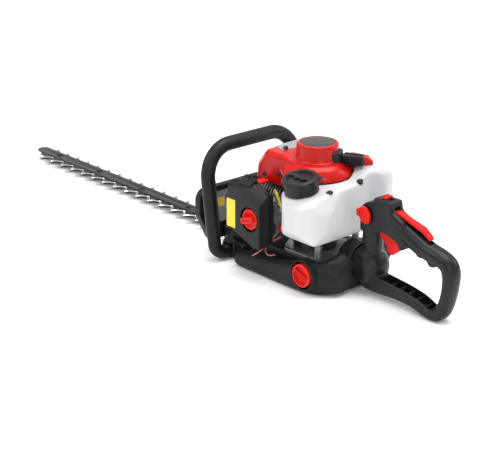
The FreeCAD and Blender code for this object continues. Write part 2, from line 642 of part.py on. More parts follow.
def ignition():
    """Ignition coil standing on the cylinder fins next to the flywheel's rim."""
    x = "-flywheel_r-14"
    core = box(x + "-8", x + "+10", "-12", "12", "crankcase_high+4", "flywheel_low+18")
    legs = [rod("+Z", x + "-4", "0", "crank_z+fin_r", "crankcase_high+5-crank_z-fin_r", "3"),
            rod("+Z", x + "+5", "0", "crank_z+fin_r", "crankcase_high+5-crank_z-fin_r", "3")]
    node("ignition_coil", fuse(core, *legs))


def exhaust():
    """Silencer box on the right of the cylinder, in a slotted guard."""
    can = rounded(box("muffler_x0", "muffler_x1", "muffler_y0", "muffler_y1", "muffler_z0", "muffler_z1"),
                  "muffler_round", runs_along(Y))
    outlet = rod("-X", "muffler_x0+1", "muffler_y1-18", "muffler_z0+16", "7", "6")
    node("muffler", fuse(can, outlet))
    reach = "guard_gap+guard_wall"
    outer = box("muffler_x0-12", "muffler_x1+%s" % reach, "muffler_y1-30", "muffler_y1+%s" % reach,
                "muffler_z0-guard_wall", "muffler_z1+guard_wall")
    inner = box("muffler_x0-12+guard_wall", "muffler_x1+guard_gap", "muffler_y1-31", "muffler_y1+guard_gap",
                "muffler_z0", "muffler_z1")
    slots = []
    for i in range(6):
        z = "muffler_z0+10+%d*8" % i
        slots.append(box("muffler_x0+8", "muffler_x1-8", "muffler_y1", "muffler_y1+10", z, z + "+4"))
    exit_hole = rod("-X", "muffler_x0", "muffler_y1-18", "muffler_z0+16", "30", "8")
    node("muffler_guard", cut(outer, inner, exit_hole, *slots))


def intake():
    """Insulator, carburettor, filter base and element, fuel hose, primer bulb and choke lever."""
    mid_x = "(carb_x0+carb_x1)/2"
    mid_z = "(carb_z0+carb_z1)/2"
    flange = box("-61", "-41", "insulator_y", "-fin_r-0.3", "crank_z-12", "crank_z+12")
    node("intake_insulator", flange)
    block = box("carb_x0", "carb_x1", "carb_y", "insulator_y", "carb_z0", "carb_z1")
    throat = rod("-Y", mid_x, "insulator_y-4", mid_z, "60", "venturi_r")
    lid = box("carb_x0+3", "carb_x1-3", "carb_y+4", "insulator_y-4", "carb_z1", "carb_z1+4")
    nipple = rod("+Z", "carb_x1-8", "-60", "carb_z1", "9", "2")
    foot = box("-36", "-16", "-70", "-56", "carb_z0-14", "carb_z0")
    socket = rod("-X", "-15", "-63", "carb_z0-7", "8", "bulb_r-1")
    node("carburettor", cut(fuse(block, lid, nipple, foot), throat, socket))
    bulb = fuse(rod("+X", "-19", "-63", "carb_z0-7", "5", "bulb_r-1.3"),
                common(ball("-14", "-63", "carb_z0-7", "bulb_r-1.3"),
                       box("-14", "0", "-80", "-50", "carb_z0-20", "carb_z0+10")))
    node("primer_bulb", bulb)
    plate = rounded(box("base_x0", "base_x1", "base_y", "carb_y", "base_z0", "base_z1"), "5", runs_along(Y))
    hole = rod("-Y", mid_x, "-60", mid_z, "60", "venturi_r")
    screw_hole = rod("-Y", "knob_x", "carb_y-3", "knob_z", "60", "knob_screw_r+run_gap")
    pivot = rod("+Y", "choke_x", "carb_y", "choke_z", "9", "choke_pin_r")
    node("air_filter_base", fuse(cut(plate, hole, screw_hole), pivot))
    felt = cut(box("base_x0+6", "base_x1-6", "cover_y+8", "base_y", "base_z0+6", "base_z1-6"),
               rod("-Y", "knob_x", "0", "knob_z", "200", "knob_recess_r+3"), *corner_wedges(10))
    node("filter_element", felt)
    lever_disc = rod("+Y", "choke_x", "carb_y+0.5", "choke_z", "4", "7")
    stalk = box("choke_x-5", "choke_x+1", "carb_y+0.5", "carb_y+4.5", "choke_z", "choke_z+18")
    tab = box("choke_x-14", "choke_x+1", "carb_y+0.5", "carb_y+20", "choke_z+16", "choke_z+20")
    eye = rod("+Y", "choke_x", "carb_y", "choke_z", "12", "choke_pin_r+run_gap")
    node("choke_lever", cut(fuse(lever_disc, stalk, tab), eye))


sizes("choke", choke_x=-58.0, choke_z=133.0, choke_pin_r=2.5)


def corner_wedges(grow):
    """The two cut corners of the filter cover, grown inwards for what lies inside it."""
    top = [("cover_x1+1", "cover_z1-25-%d" % grow), ("cover_x1-23-%d" % grow, "cover_z1+1"),
           ("cover_x1+1", "cover_z1+1")]
    heel = [("cover_x0-1", "cover_z0+21+%d" % grow), ("cover_x0-1", "cover_z0-1"),
            ("cover_x0+34+%d*1.6" % grow, "cover_z0-1")]
    wedges = []
    for outline in (top, heel):
        wedge = new_body("CoverWedge")
        pad(wedge, "XZ_Plane", "80", "40", outline)
        wedges.append(wedge)
    return wedges


def air_cover():
    """Air filter cover: a shell with a round recess for its knob."""
    block = box("cover_x0", "cover_x1", "cover_y", "base_y-0.1", "cover_z0", "cover_z1")
    block = rounded(block, "6", runs_along(Y))
    outer = cut(block, *corner_wedges(0))
    outer = rounded(outer, "3", lambda e: abs(e.CenterOfMass.y - value("cover_y")) < 0.01)
    inner = box("cover_x0+air_wall", "cover_x1-air_wall", "cover_y+air_wall", "base_y+1",
                "cover_z0+air_wall", "cover_z1-air_wall")
    room = cut(inner, *corner_wedges(4))
    well = rod("+Y", "knob_x", "cover_y", "knob_z", "knob_recess+2.5", "knob_recess_r+2.5")
    shell = fuse(cut(outer, room), well)
    recess = rod("+Y", "knob_x", "cover_y-1", "knob_z", "knob_recess+1", "knob_recess_r")
    hole = rod("+Y", "knob_x", "cover_y-1", "knob_z", "20", "knob_screw_r+run_gap")
    clip = rounded(box("cover_x0+34", "cover_x0+56", "cover_y+6", "base_y-4", "cover_z1-0.5", "cover_z1+5"),
                   "2", lambda e: e.CenterOfMass.z > value("cover_z1") + 4)
    node("air_cover", fuse(cut(shell, recess, hole), clip))
    cap = rod("-Y", "knob_x", "cover_y+knob_recess-0.3", "knob_z", "knob_recess", "knob_r")
    fin = box("knob_x-knob_r+1.5", "knob_x+knob_r-1.5", "cover_y-9", "cover_y+1", "knob_z-5", "knob_z+5")
    fin = rounded(fin, "3", runs_along(Y))
    screw = rod("+Y", "knob_x", "cover_y+knob_recess-1", "knob_z", "base_y-cover_y-knob_recess+9",
                "knob_screw_r")
    node("air_cover_knob", fuse(cap, fin, screw))


sizes("tank", tank_low=83.0, tank_top=181.0, tank_wall=3.0, tank_gap=2.5, tank_round=12.0, cap_x=35.0,
      cap_y=-73.0, cap_z=155.7, cap_r=29.0, cap_high=25.0, cap_tilt=11.0, neck_bore_r=16.0,
      filler_r=20.0)


def tilted(part):
    """Stand an upright filler piece on the tank's leaning filler axis."""
    turned = group([part])
    turned.Placement = Placement(Vector(), Rotation(X, value("cap_tilt")))
    bind(turned, "Placement.Base.x", "cap_x")
    bind(turned, "Placement.Base.y", "cap_y")
    bind(turned, "Placement.Base.z", "cap_z")
    return turned


def moved_in(outline, wall):
    """An outline with every side moved inwards by a wall, as expressions of that wall."""
    points = [Vector(value(u), value(v), 0) for u, v in outline]
    count = len(points)
    area = sum(a.x * b.y - b.x * a.y for a, b in zip(points, points[1:] + points[:1]))
    side = 1 if area > 0 else -1
    moved = []
    for i, (u, v) in enumerate(outline):
        into = (points[i] - points[i - 1]).normalize()
        out = (points[(i + 1) % count] - points[i]).normalize()
        normal_1 = Vector(-into.y, into.x, 0) * side
        normal_2 = Vector(-out.y, out.x, 0) * side
        step = (normal_1 + normal_2) * (1 / (1 + normal_1.dot(normal_2)))
        moved.append(("(%s)+%.5f*%s" % (u, step.x, wall), "(%s)+%.5f*%s" % (v, step.y, wall)))
    return moved


def tank_block(inset):
    """The tank's outside as three outlines met together, every side moved in by an inset."""
    plan = new_body("TankPlan")
    shape = [("14", "-100"), ("40", "-110"), ("74", "-107"), ("97", "-88"), ("97", "-60"), ("83", "-28"),
             ("83", "32"), ("93", "66"), ("84", "90"), ("60", "97"), ("24", "97"), ("14", "80"),
             ("14", "-40")]
    first = pad(plan, "XY_Plane", "tank_low-5", "tank_top-tank_low+10", moved_in(shape, inset))
    soften(plan, first, "tank_round-%s" % inset, runs_along(Z))
    side = new_body("TankSide")
    outline = [("-5", "tank_low"), ("88", "tank_low"), ("97", "tank_low+14"), ("97", "138"), ("84", "165"),
               ("66", "tank_top"), ("-5", "tank_top")]
    second = pad(side, "XZ_Plane", "0", "240", moved_in(outline, inset), both=True)
    soften(side, second, "tank_round/2-%s" % inset, runs_along(Y))
    across = new_body("TankAcross")
    section = [("-98", "tank_low"), ("-110", "tank_low+10"), ("-110", "134"), ("-104", "147"),
               ("-84", "160"), ("-40", "168"), ("10", "169"), ("48", "tank_top"), ("84", "tank_top"), ("97", "165"),
               ("97", "112"), ("88", "tank_low")]
    third = pad(across, "YZ_Plane", "-5", "120", moved_in(section, inset))
    soften(across, third, "tank_round/2-%s" % inset, runs_along(X))
    engine_room = rod("+Z", "0", "0", "tank_low-1", "tank_top-tank_low+2", "shoulder_r+tank_gap+%s" % inset)
    return cut(common(plan, side, across), engine_room)


def fuel_tank():
    """Translucent tank that wraps round the engine, with its filler, gasket and cap."""
    outer = tank_block("0")
    filler_inner = tilted(rod("+Z", "0", "0", "-tank_wall", "60", "cap_r+3+tank_wall"))
    inner = cut(tank_block("tank_wall"), filler_inner)
    filler_cut = tilted(rod("+Z", "0", "0", "0", "60", "cap_r+3"))
    neck = tilted(rod("+Z", "0", "0", "-14", "12+14", "filler_r"))
    neck_room = tilted(rod("+Z", "0", "0", "-20", "50", "neck_bore_r"))
    node("fuel_tank", cut(fuse(cut(cut(outer, filler_cut), inner), neck), neck_room))
    ring = cut(rod("+Z", "0", "0", "12.2", "2", "filler_r"), rod("+Z", "0", "0", "10", "8", "neck_bore_r"))
    shell = rounded(rod("+Z", "0", "0", "0.6", "cap_high-0.6", "cap_r"), "2.5",
                    lambda e: e.CenterOfMass.z > value("cap_high") - 1)
    room = rod("+Z", "0", "0", "0", "14.5", "filler_r+slide_gap")
    grooves = []
    for i in range(24):
        angle = math.radians(15 * i)
        x = "(cap_r+0.6)*%.6f" % math.cos(angle)
        y = "(cap_r+0.6)*%.6f" % math.sin(angle)
        grooves.append(rod("+Z", x, y, "4", "cap_high-8", "1.4"))
    node("fuel_cap", tilted(group([cut(shell, room, *grooves), ring])))


sizes("frame", frame_front=-104.0, frame_out=90.0, frame_in=66.0, frame_low_top=27.0, collar_x0=85.0,
      collar_x1=105.0, collar_r=45.0, swivel_z=47.0, swivel_r=22.0, boss_x=60.0, boss_z=33.0, boss_r=25.0,
      plug_r=19.0, plug_deep=8.0, mount_r=10.0, mount_front_x=-60.0, mount_front_z=14.0,
      plate_high=46.0, plate_rear=73.0, post_x=48.0, tank_post_r=6.0)
sizes("front_handle", tube_r=12.5, tube_in=10.0, loop_half_w=98.0, loop_low=12.5, loop_top=191.0,
      loop_x=-138.0, loop_lean=7.7, top_bend=52.0, low_bend=32.0, loop_end_y=58.0, socket_x0=-156.0,
      socket_x1=-106.0, socket_top=27.0, socket_out=66.0)
sizes("blade_guard", guard_half_w=105.0, guard_low=23.0, guard_top=117.0, guard_thick=4.0,
      guard_corner=20.0, guard_rim=6.0, guard_lip=9.0)


def frame():
    """Wishbone frame: two arms that meet in a split collar round the handle's spindle."""
    plan = new_body("ArmPlan")
    shape = [("frame_front", "-frame_out+18"), ("frame_front+6", "-frame_out+4"),
             ("frame_front+14", "-frame_out"), ("48", "-frame_out"), ("76", "-frame_out+9"),
             ("96", "-collar_r-8"), ("collar_x1", "-collar_r+4"), ("collar_x1", "0"), ("collar_x0", "0"),
             ("collar_x0", "-30"), ("79", "-48"), ("72", "-frame_in"), ("frame_front+10", "-frame_in"),
             ("frame_front", "-frame_in-2")]
    pad(plan, "XY_Plane", "0", "swivel_z+collar_r", shape)
    side = new_body("ArmSide")
    profile = [("frame_front", "4"), ("frame_front+8", "0"), ("94", "0"), ("collar_x1", "6"),
               ("collar_x1", "80"), ("88", "80"), ("74", "66"), ("58", "54"), ("40", "46"), ("-20", "32"),
               ("frame_front", "frame_low_top-3")]
    soften(side, pad(side, "XZ_Plane", "0", "2*frame_out+10", profile, both=True), "5",
           lambda e: runs_along(Y)(e) and e.CenterOfMass.x < value("collar_x0"))
    arm = common(plan, side)
    collar = common(rod("+X", "collar_x0", "0", "swivel_z", "collar_x1-collar_x0", "collar_r"),
                    box("collar_x0", "collar_x1", "-collar_r-1", "0", "0", "swivel_z+collar_r+1"))
    boss = rod("-Y", "boss_x", "-frame_in", "boss_z", "frame_out-frame_in+1", "boss_r")
    corner = cut(box("collar_x0-1", "collar_x1+1", "-frame_out", "1", "-1", "swivel_z+collar_r+2"),
                 rod("+X", "collar_x0-2", "0", "swivel_z", "collar_x1-collar_x0+4", "collar_r+14"))
    bore = rod("+X", "collar_x0-30", "0", "swivel_z", "collar_x1-collar_x0+40", "swivel_r")
    plug_hole = rod("-Y", "boss_x", "-frame_out+plug_deep-1", "boss_z", "20", "plug_r+fit_gap")
    left = cut(fuse(arm, collar, boss), corner, bore, plug_hole)
    node("frame_left", left)
    node("frame_right", mirrored(left))
    disc = rod("-Y", "boss_x", "-frame_out+plug_deep-1", "boss_z", "plug_deep+1.5", "plug_r")
    dish = cut(rod("-Y", "boss_x", "-frame_out+2", "boss_z", "5", "plug_r-4"),
               box("boss_x-plug_r+4", "boss_x+plug_r-4", "-frame_out-9", "-frame_out+9", "boss_z-4",
                   "boss_z+4"))
    node("mount_plugs", both_sides(cut(disc, dish)))
    front = rod("-Y", "mount_front_x", "-case_half_w", "mount_front_z", "frame_in-case_half_w", "mount_r")
    rear = rod("-Y", "boss_x", "-case_half_w", "boss_z", "frame_in-case_half_w", "mount_r")
    node("rubber_mounts", group([both_sides(front), both_sides(rear)]))


def cradle():
    """Cast plate on the gearcase that carries the engine, the tank posts and the rear mounts."""
    plate = rounded(box("-26", "plate_rear", "-case_half_w", "case_half_w", "case_top", "plate_high"), "6",
                    runs_along(Z))
    room = rod("+Z", "0", "0", "case_top-1", "12", "drum_cup_r+0.5")
    lugs = []
    posts = []
    for side in ("-", ""):
        inner = "%s(case_half_w-9)" % side
        outer = "%scase_half_w" % side
        low, high = (outer, inner) if side else (inner, outer)
        lugs.append(box("boss_x-12", "boss_x+11", low, high, "boss_z-12", "plate_high-1"))
        posts.append(rod("+Z", "post_x", "%s42" % side, "plate_high-1", "tank_low-plate_high+1",
                         "tank_post_r"))
    screws_room = []
    for x in ("-20", "case_rear-8"):
        for side in ("-", ""):
            screws_room.append(rod("+Z", x, "%s(case_half_w-3.2)" % side, "case_top-1", "4", "4"))
    node("engine_cradle", cut(fuse(plate, *lugs, *posts), room, *screws_room))


def loop_tube(radius):
    """The front loop as straight runs and quarter bends, upright in the YZ plane."""
    side = "loop_half_w"
    leg_low = "loop_low+low_bend"
    leg_high = "loop_top-top_bend"
    parts = [rod("-Y", "0", "loop_half_w-top_bend", "loop_top", "2*(loop_half_w-top_bend)", radius)]
    for sign, top_start, low_start in (("-", 90, 180), ("", 0, 270)):
        y = sign + side
        parts.append(rod("+Z", "0", y, leg_low, "%s-(%s)" % (leg_high, leg_low), radius))
        parts.append(elbow("%s(%s-top_bend)" % (sign, side), leg_high, "top_bend", radius, top_start))
        parts.append(elbow("%s(%s-low_bend)" % (sign, side), leg_low, "low_bend", radius, low_start))
        axis = "+Y" if sign else "-Y"
        parts.append(rod(axis, "0", "%s(%s-low_bend)" % (sign, side), "loop_low",
                         "%s-low_bend-loop_end_y" % side, radius))
    return fuse(*parts)


def front_handle():
    """Tubular loop handle that leans forward, held in two sockets beside the gearcase."""
    tube = group([cut(loop_tube("tube_r"), loop_tube("tube_in"))])
    lean = Rotation(Y, -value("loop_lean"))
    tube.Placement = Placement(Vector(), lean)
    bind(tube, "Placement.Base.x", "loop_x+loop_low*sin(loop_lean)")
    bind(tube, "Placement.Base.z", "loop_low-loop_low*cos(loop_lean)")
    node("front_handle", tube)
    block = box("socket_x0", "socket_x1", "-socket_out", "-case_half_w", "0", "socket_top")
    block = rounded(block, "6", runs_along(Y))
    hole = rod("-Y", "loop_x", "-loop_end_y", "loop_low", "30", "tube_r+fit_gap")
    left = cut(block, hole)
    node("handle_brackets", both_sides(left))


def blade_guard():
    """Upright hand guard on the gearcase's nose, with a rim and a blank label panel."""
    plate = box("case_front-guard_thick", "case_front", "-guard_half_w", "guard_half_w", "guard_low",
                "guard_top")
    plate = rounded(plate, "guard_corner", runs_along(X))
    rim_out = rounded(box("case_front-guard_thick", "case_front+guard_lip", "-guard_half_w", "guard_half_w",
                          "guard_low", "guard_top"), "guard_corner", runs_along(X))
    rim_in = box("case_front-20", "case_front+20", "-guard_half_w+guard_rim", "guard_half_w-guard_rim",
                 "guard_low-30", "guard_top-guard_rim")
    rim_in = rounded(rim_in, "guard_corner-guard_rim", runs_along(X))
    rim = cut(rim_out, rim_in)
    relief = box("case_front", "case_front+30", "-case_half_w-1", "case_half_w+1", "0", "case_top+1")
    node("blade_guard", cut(fuse(plate, rim), relief))


sizes("rear_handle", half_thick=15.0, ball_r=35.0, ball_face=106.0, spindle_end=118.0,
      flange_r=27.0, flange_x0=78.0, edge_round=6.0, trigger_half=5.5, trigger_slot=6.2, trigger_x=150.0,
      trigger_z=114.0, pin_r=2.5, lever_half=5.5, lever_slot=6.2, lever_x=176.0, lever_z=148.0,
      switch_x=154.0, switch_z=164.5, lock_x=124.0, lock_z=135.0, lock_r=11.0)


def handle_outline():
    outer = [("109", "80"), ("109", "142"), ("116", "150"), ("135", "157"), ("137", "165"), ("172", "165"),
             ("176", "149"), ("209", "134"), ("249", "120"), ("262", "117"), ("286", "108"), ("297", "98"),
             ("300", "84"), ("296", "43"), ("294", "28"), ("284", "12"), ("270", "2"), ("257", "0"),
             ("251", "2"), ("227", "10"), ("200", "12"), ("140", "12"), ("109", "16")]
    return outer


def handle_opening():
    return [("142", "34"), ("195", "32"), ("226", "27"), ("248", "20"), ("264", "20"), ("272", "30"),
            ("275", "66"), ("271", "78"), ("250", "87"), ("236", "92"), ("220", "93"), ("209", "99"),
            ("198", "99"), ("188", "104"), ("170", "112"), ("142", "112"), ("138", "104"), ("138", "40")]


def rear_handle():
    """Clamshell rear handle: two halves closed round the spindle and the controls."""
    body = new_body("HandleHalf")
    outline = pad(body, "XZ_Plane", "0", "half_thick", handle_outline(), handle_opening())
    soften(body, outline, "edge_round", lambda e: abs(e.CenterOfMass.y + value("half_thick")) < 0.01)
    doc.recompute()
    barrel = fuse(rod("+X", "ball_face", "0", "swivel_z", "20", "ball_r"),
                  cone("+X", "ball_face+20", "0", "swivel_z", "20", "ball_r", "ball_r-12"))
    half = box("ball_face-1", "ball_face+42", "-ball_r-1", "0", "swivel_z-ball_r-1", "swivel_z+ball_r+1")
    knuckle = common(barrel, half)
    opening = new_body("KnuckleRelief")
    pad(opening, "XZ_Plane", "0", "60", [("150", "0"), ("170", "0"), ("170", "90"), ("150", "90")])
    knuckle = cut(knuckle, opening)
    seat = rod("+X", "ball_face-1", "0", "swivel_z", "spindle_end-ball_face+1", "swivel_r+fit_gap")
    trigger_room = new_body("TriggerRoom")
    pad(trigger_room, "XZ_Plane", "-1", "trigger_slot+1",
        [("136", "76"), ("186", "76"), ("192", "100"), ("196", "124"), ("141", "124"), ("136", "116")])
    lever_room = new_body("LeverRoom")
    pad(lever_room, "XZ_Plane", "-1", "lever_slot+1",
        [("166", "140"), ("190", "130"), ("210", "123"), ("230", "116"), ("250", "108"), ("256", "108"),
         ("256", "140"), ("230", "155"), ("180", "160"), ("166", "153")])
    switch_room = new_body("SwitchRoom")
    pad(switch_room, "XZ_Plane", "-1", "3.3+1",
        [("switch_x-9", "157"), ("switch_x+12", "157"), ("switch_x+12", "170"), ("switch_x-9", "170")])
    hollow = new_body("ArmHollow")
    pad(hollow, "XZ_Plane", "-1", "half_thick-3+1",
        [("150", "17"), ("198", "17"), ("226", "15"), ("250", "8"), ("262", "8"), ("262", "14"),
         ("248", "14"), ("226", "21"), ("195", "26"), ("150", "28")])
    pins = [rod("-Y", "trigger_x", "2", "trigger_z", "half_thick-1", "pin_r+fit_gap"),
            rod("-Y", "lever_x", "2", "lever_z-3", "half_thick-1", "pin_r+fit_gap")]
    lock_hole = rod("-Y", "lock_x", "-half_thick+6", "lock_z", "20", "4+run_gap")
    left = cut_in_turn(fuse(body, knuckle), seat, trigger_room, lever_room, switch_room, hollow, *pins)
    node("handle_right", mirrored(left))
    node("handle_left", cut(left, lock_hole))
    spindle = rod("+X", "flange_x0", "0", "swivel_z", "spindle_end-flange_x0", "swivel_r-run_gap")
    flange = rod("+X", "flange_x0", "0", "swivel_z", "collar_x0-flange_x0-0.3", "flange_r")
    node("handle_spindle", fuse(spindle, flange))
    screws = [rod("-Y", "trigger_x", "half_thick-3.5", "trigger_z", "2*half_thick-7", "pin_r"),
              rod("-Y", "lever_x", "half_thick-3.5", "lever_z-3", "2*half_thick-7", "pin_r")]
    corners = (("114", "98"), ("128", "150"), ("186", "122"), ("262", "98"), ("286", "50"), ("240", "7.5"))
    for x, z in corners:
        screws.append(rod("+Y", x, "half_thick", z, "1.6", "3.2"))
    node("handle_fasteners", group(screws))


def controls():
    """Trigger, lockout lever, stop switch and swivel lock."""
    trigger = new_body("Trigger")
    pad(trigger, "XZ_Plane", "0", "2*trigger_half",
        [("142", "109"), ("146", "118"), ("158", "119"), ("176", "108"), ("183", "98"), ("183", "88"),
         ("169", "77"), ("163", "80"), ("157", "93"), ("146", "101")], both=True)
    eye = rod("-Y", "trigger_x", "20", "trigger_z", "40", "pin_r+run_gap")
    node("throttle_trigger", cut(trigger, eye))
    lever = new_body("Lockout")
    pad(lever, "XZ_Plane", "0", "2*lever_half",
        [("169", "150"), ("180", "150"), ("202", "144"), ("230", "138"), ("243", "128"), ("246", "120"),
         ("229", "131"), ("209", "137"), ("190", "142"), ("182", "141"), ("170", "142")], both=True)
    lever_eye = rod("-Y", "lever_x", "20", "lever_z-3", "40", "pin_r+run_gap")
    node("throttle_lockout", cut(lever, lever_eye))
    cap = rounded(box("switch_x-7", "switch_x+4", "-8", "8", "switch_z+0.8", "switch_z+6"), "1.5",
                  lambda e: e.CenterOfMass.z > value("switch_z") + 5.9)
    stem = box("switch_x-5", "switch_x+2", "-3", "3", "switch_z-5", "switch_z+1")
    node("stop_switch", fuse(cap, stem))
    dial = rod("-Y", "lock_x", "-half_thick-0.3", "lock_z", "7", "lock_r")
    nub = box("lock_x-lock_r-7", "lock_x", "-half_thick-6.3", "-half_thick-0.3", "lock_z-5", "lock_z+5")
    shaft = rod("-Y", "lock_x", "-half_thick+5.5", "lock_z", "7", "4")
    node("swivel_lock", fuse(dial, nub, shaft))


def hose(label, route, radius):
    """A held hose: straight runs joined by tangent arcs as large as the runs allow."""
    points = [Vector(*[value(c) for c in p]) for p in route]
    edges = []
    start = points[0]
    for before, corner, after in zip(points, points[1:], points[2:]):
        run_in = corner - before
        run_out = after - corner
        turn = run_in.getAngle(run_out)
        trim = 0.45 * min(run_in.Length, run_out.Length)
        into = Vector(run_in).normalize()
        out = Vector(run_out).normalize()
        first = corner - into * trim
        last = corner + out * trim
        bend = trim / math.tan(turn / 2)
        middle_way = (out - into).normalize()
        middle = corner + middle_way * (bend / math.cos(turn / 2) - bend)
        edges.append(Part.LineSegment(start, first).toShape())
        edges.append(Part.Arc(first, middle, last).toShape())
        print(label, "bend radius", round(bend, 1))
        start = last
    edges.append(Part.LineSegment(start, points[-1]).toShape())
    wire = Part.Wire(edges)
    profile = Part.Wire([Part.Circle(points[0], points[1] - points[0], value(radius)).toShape()])
    tube = doc.addObject("Part::Feature", "Hose")
    tube.Shape = wire.makePipeShell([profile], True, False)
    tube.Placement = Placement()
    return node(label, tube)


def finish():
    doc.recompute()
    for obj in doc.Objects:
        if "Invalid" in obj.State or "Error" in obj.State:
            raise RuntimeError("failed: %s %s" % (obj.Name, obj.Label))
    for obj in nodes:
        if obj.Shape.isNull() or not obj.Shape.isValid():
            raise RuntimeError("bad shape: " + obj.Label)
    os.makedirs("parts", exist_ok=True)
    for obj in nodes:
        obj.Shape.exportStep("parts/%s.step" % obj.Label)
    print(len(nodes), "nodes written")


doc.recompute()
guide_bar()
blade("upper_blade", "blade_low+blade_thick+slide_gap")
blade("lower_blade", "blade_low")
blade_bolts()
gearcase()
drive_train()
clutch()
crankcase()
crankshaft()
piston_train()
cylinder()
flywheel()
starter()
ignition()
exhaust()
intake()
air_cover()
fuel_tank()
frame()
cradle()
front_handle()
blade_guard()
rear_handle()
controls()
hose_route = [("carb_x1-8", "-60", "carb_z1+9"), ("carb_x1-8", "-60", "carb_z1+24"), ("-8", "-68", "147"),
              ("2", "-75", "134"), ("14", "-75", "134")]
hose("fuel_hose", hose_route, "2.6")
finish()
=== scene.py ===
import json
import math
import bmesh
import bpy
from mathutils import Matrix, Vector


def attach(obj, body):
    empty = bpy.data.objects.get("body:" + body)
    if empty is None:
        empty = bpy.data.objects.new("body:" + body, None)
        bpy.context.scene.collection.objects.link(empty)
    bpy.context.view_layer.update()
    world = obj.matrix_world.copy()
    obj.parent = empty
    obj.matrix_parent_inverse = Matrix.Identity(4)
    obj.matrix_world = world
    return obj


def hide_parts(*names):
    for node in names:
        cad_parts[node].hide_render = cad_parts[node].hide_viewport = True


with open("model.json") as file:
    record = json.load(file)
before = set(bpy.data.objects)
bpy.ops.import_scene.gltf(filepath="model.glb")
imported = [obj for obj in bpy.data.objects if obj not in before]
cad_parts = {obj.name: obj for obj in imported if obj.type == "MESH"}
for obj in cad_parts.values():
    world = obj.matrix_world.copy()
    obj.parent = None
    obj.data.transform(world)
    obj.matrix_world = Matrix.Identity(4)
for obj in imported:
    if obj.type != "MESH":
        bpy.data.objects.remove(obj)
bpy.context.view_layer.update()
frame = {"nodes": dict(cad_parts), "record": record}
print("frame loaded")

# Millimetres of the object's frame: x to the rear handle, y to the operator's right, z up.
camera = {"aim": (-161.71, 0.0, 32.48), "azimuth": 48.26, "elevation": 20.73,
          "distance": 2322.24, "lens": 97.2, "sensor": 36.0}


def spot(x, y, z):
    return Vector((x, y, z)) * 0.001


def setUpCamera():
    lens = bpy.data.cameras.new("studioCamera")
    lens.lens = camera["lens"]
    lens.sensor_width = camera["sensor"]
    lens.clip_start = 0.05
    turn = math.radians(camera["azimuth"])
    lift = math.radians(camera["elevation"])
    back = Vector((math.sin(turn) * math.cos(lift), -math.cos(turn) * math.cos(lift), math.sin(lift)))
    eye = bpy.data.objects.new("studioCamera", lens)
    eye.location = spot(*camera["aim"]) + back * camera["distance"] * 0.001
    eye.rotation_mode = "QUATERNION"
    eye.rotation_quaternion = (-back).to_track_quat("-Z", "Y")
    bpy.context.collection.objects.link(eye)
    bpy.context.scene.camera = eye


# node and material helpers

def linearColour(hexColour):
    channels = [int(hexColour[i:i + 2], 16) / 255 for i in (1, 3, 5)]
    return tuple(c / 12.92 if c <= 0.04045 else ((c + 0.055) / 1.055) ** 2.4 for c in channels) + (1.0,)


# links: input name or number -> socket; settings: attributes, or sockets by inName.
def addNode(tree, kind, links=None, **settings):
    node = tree.nodes.new(kind)
    for key, setting in settings.items():
        if hasattr(node, key):
            setattr(node, key, setting)
        else:
            node.inputs[key.replace("_", " ")].default_value = setting
    for key, socket in (links or {}).items():
        tree.links.new(socket, node.inputs[key])
    return node


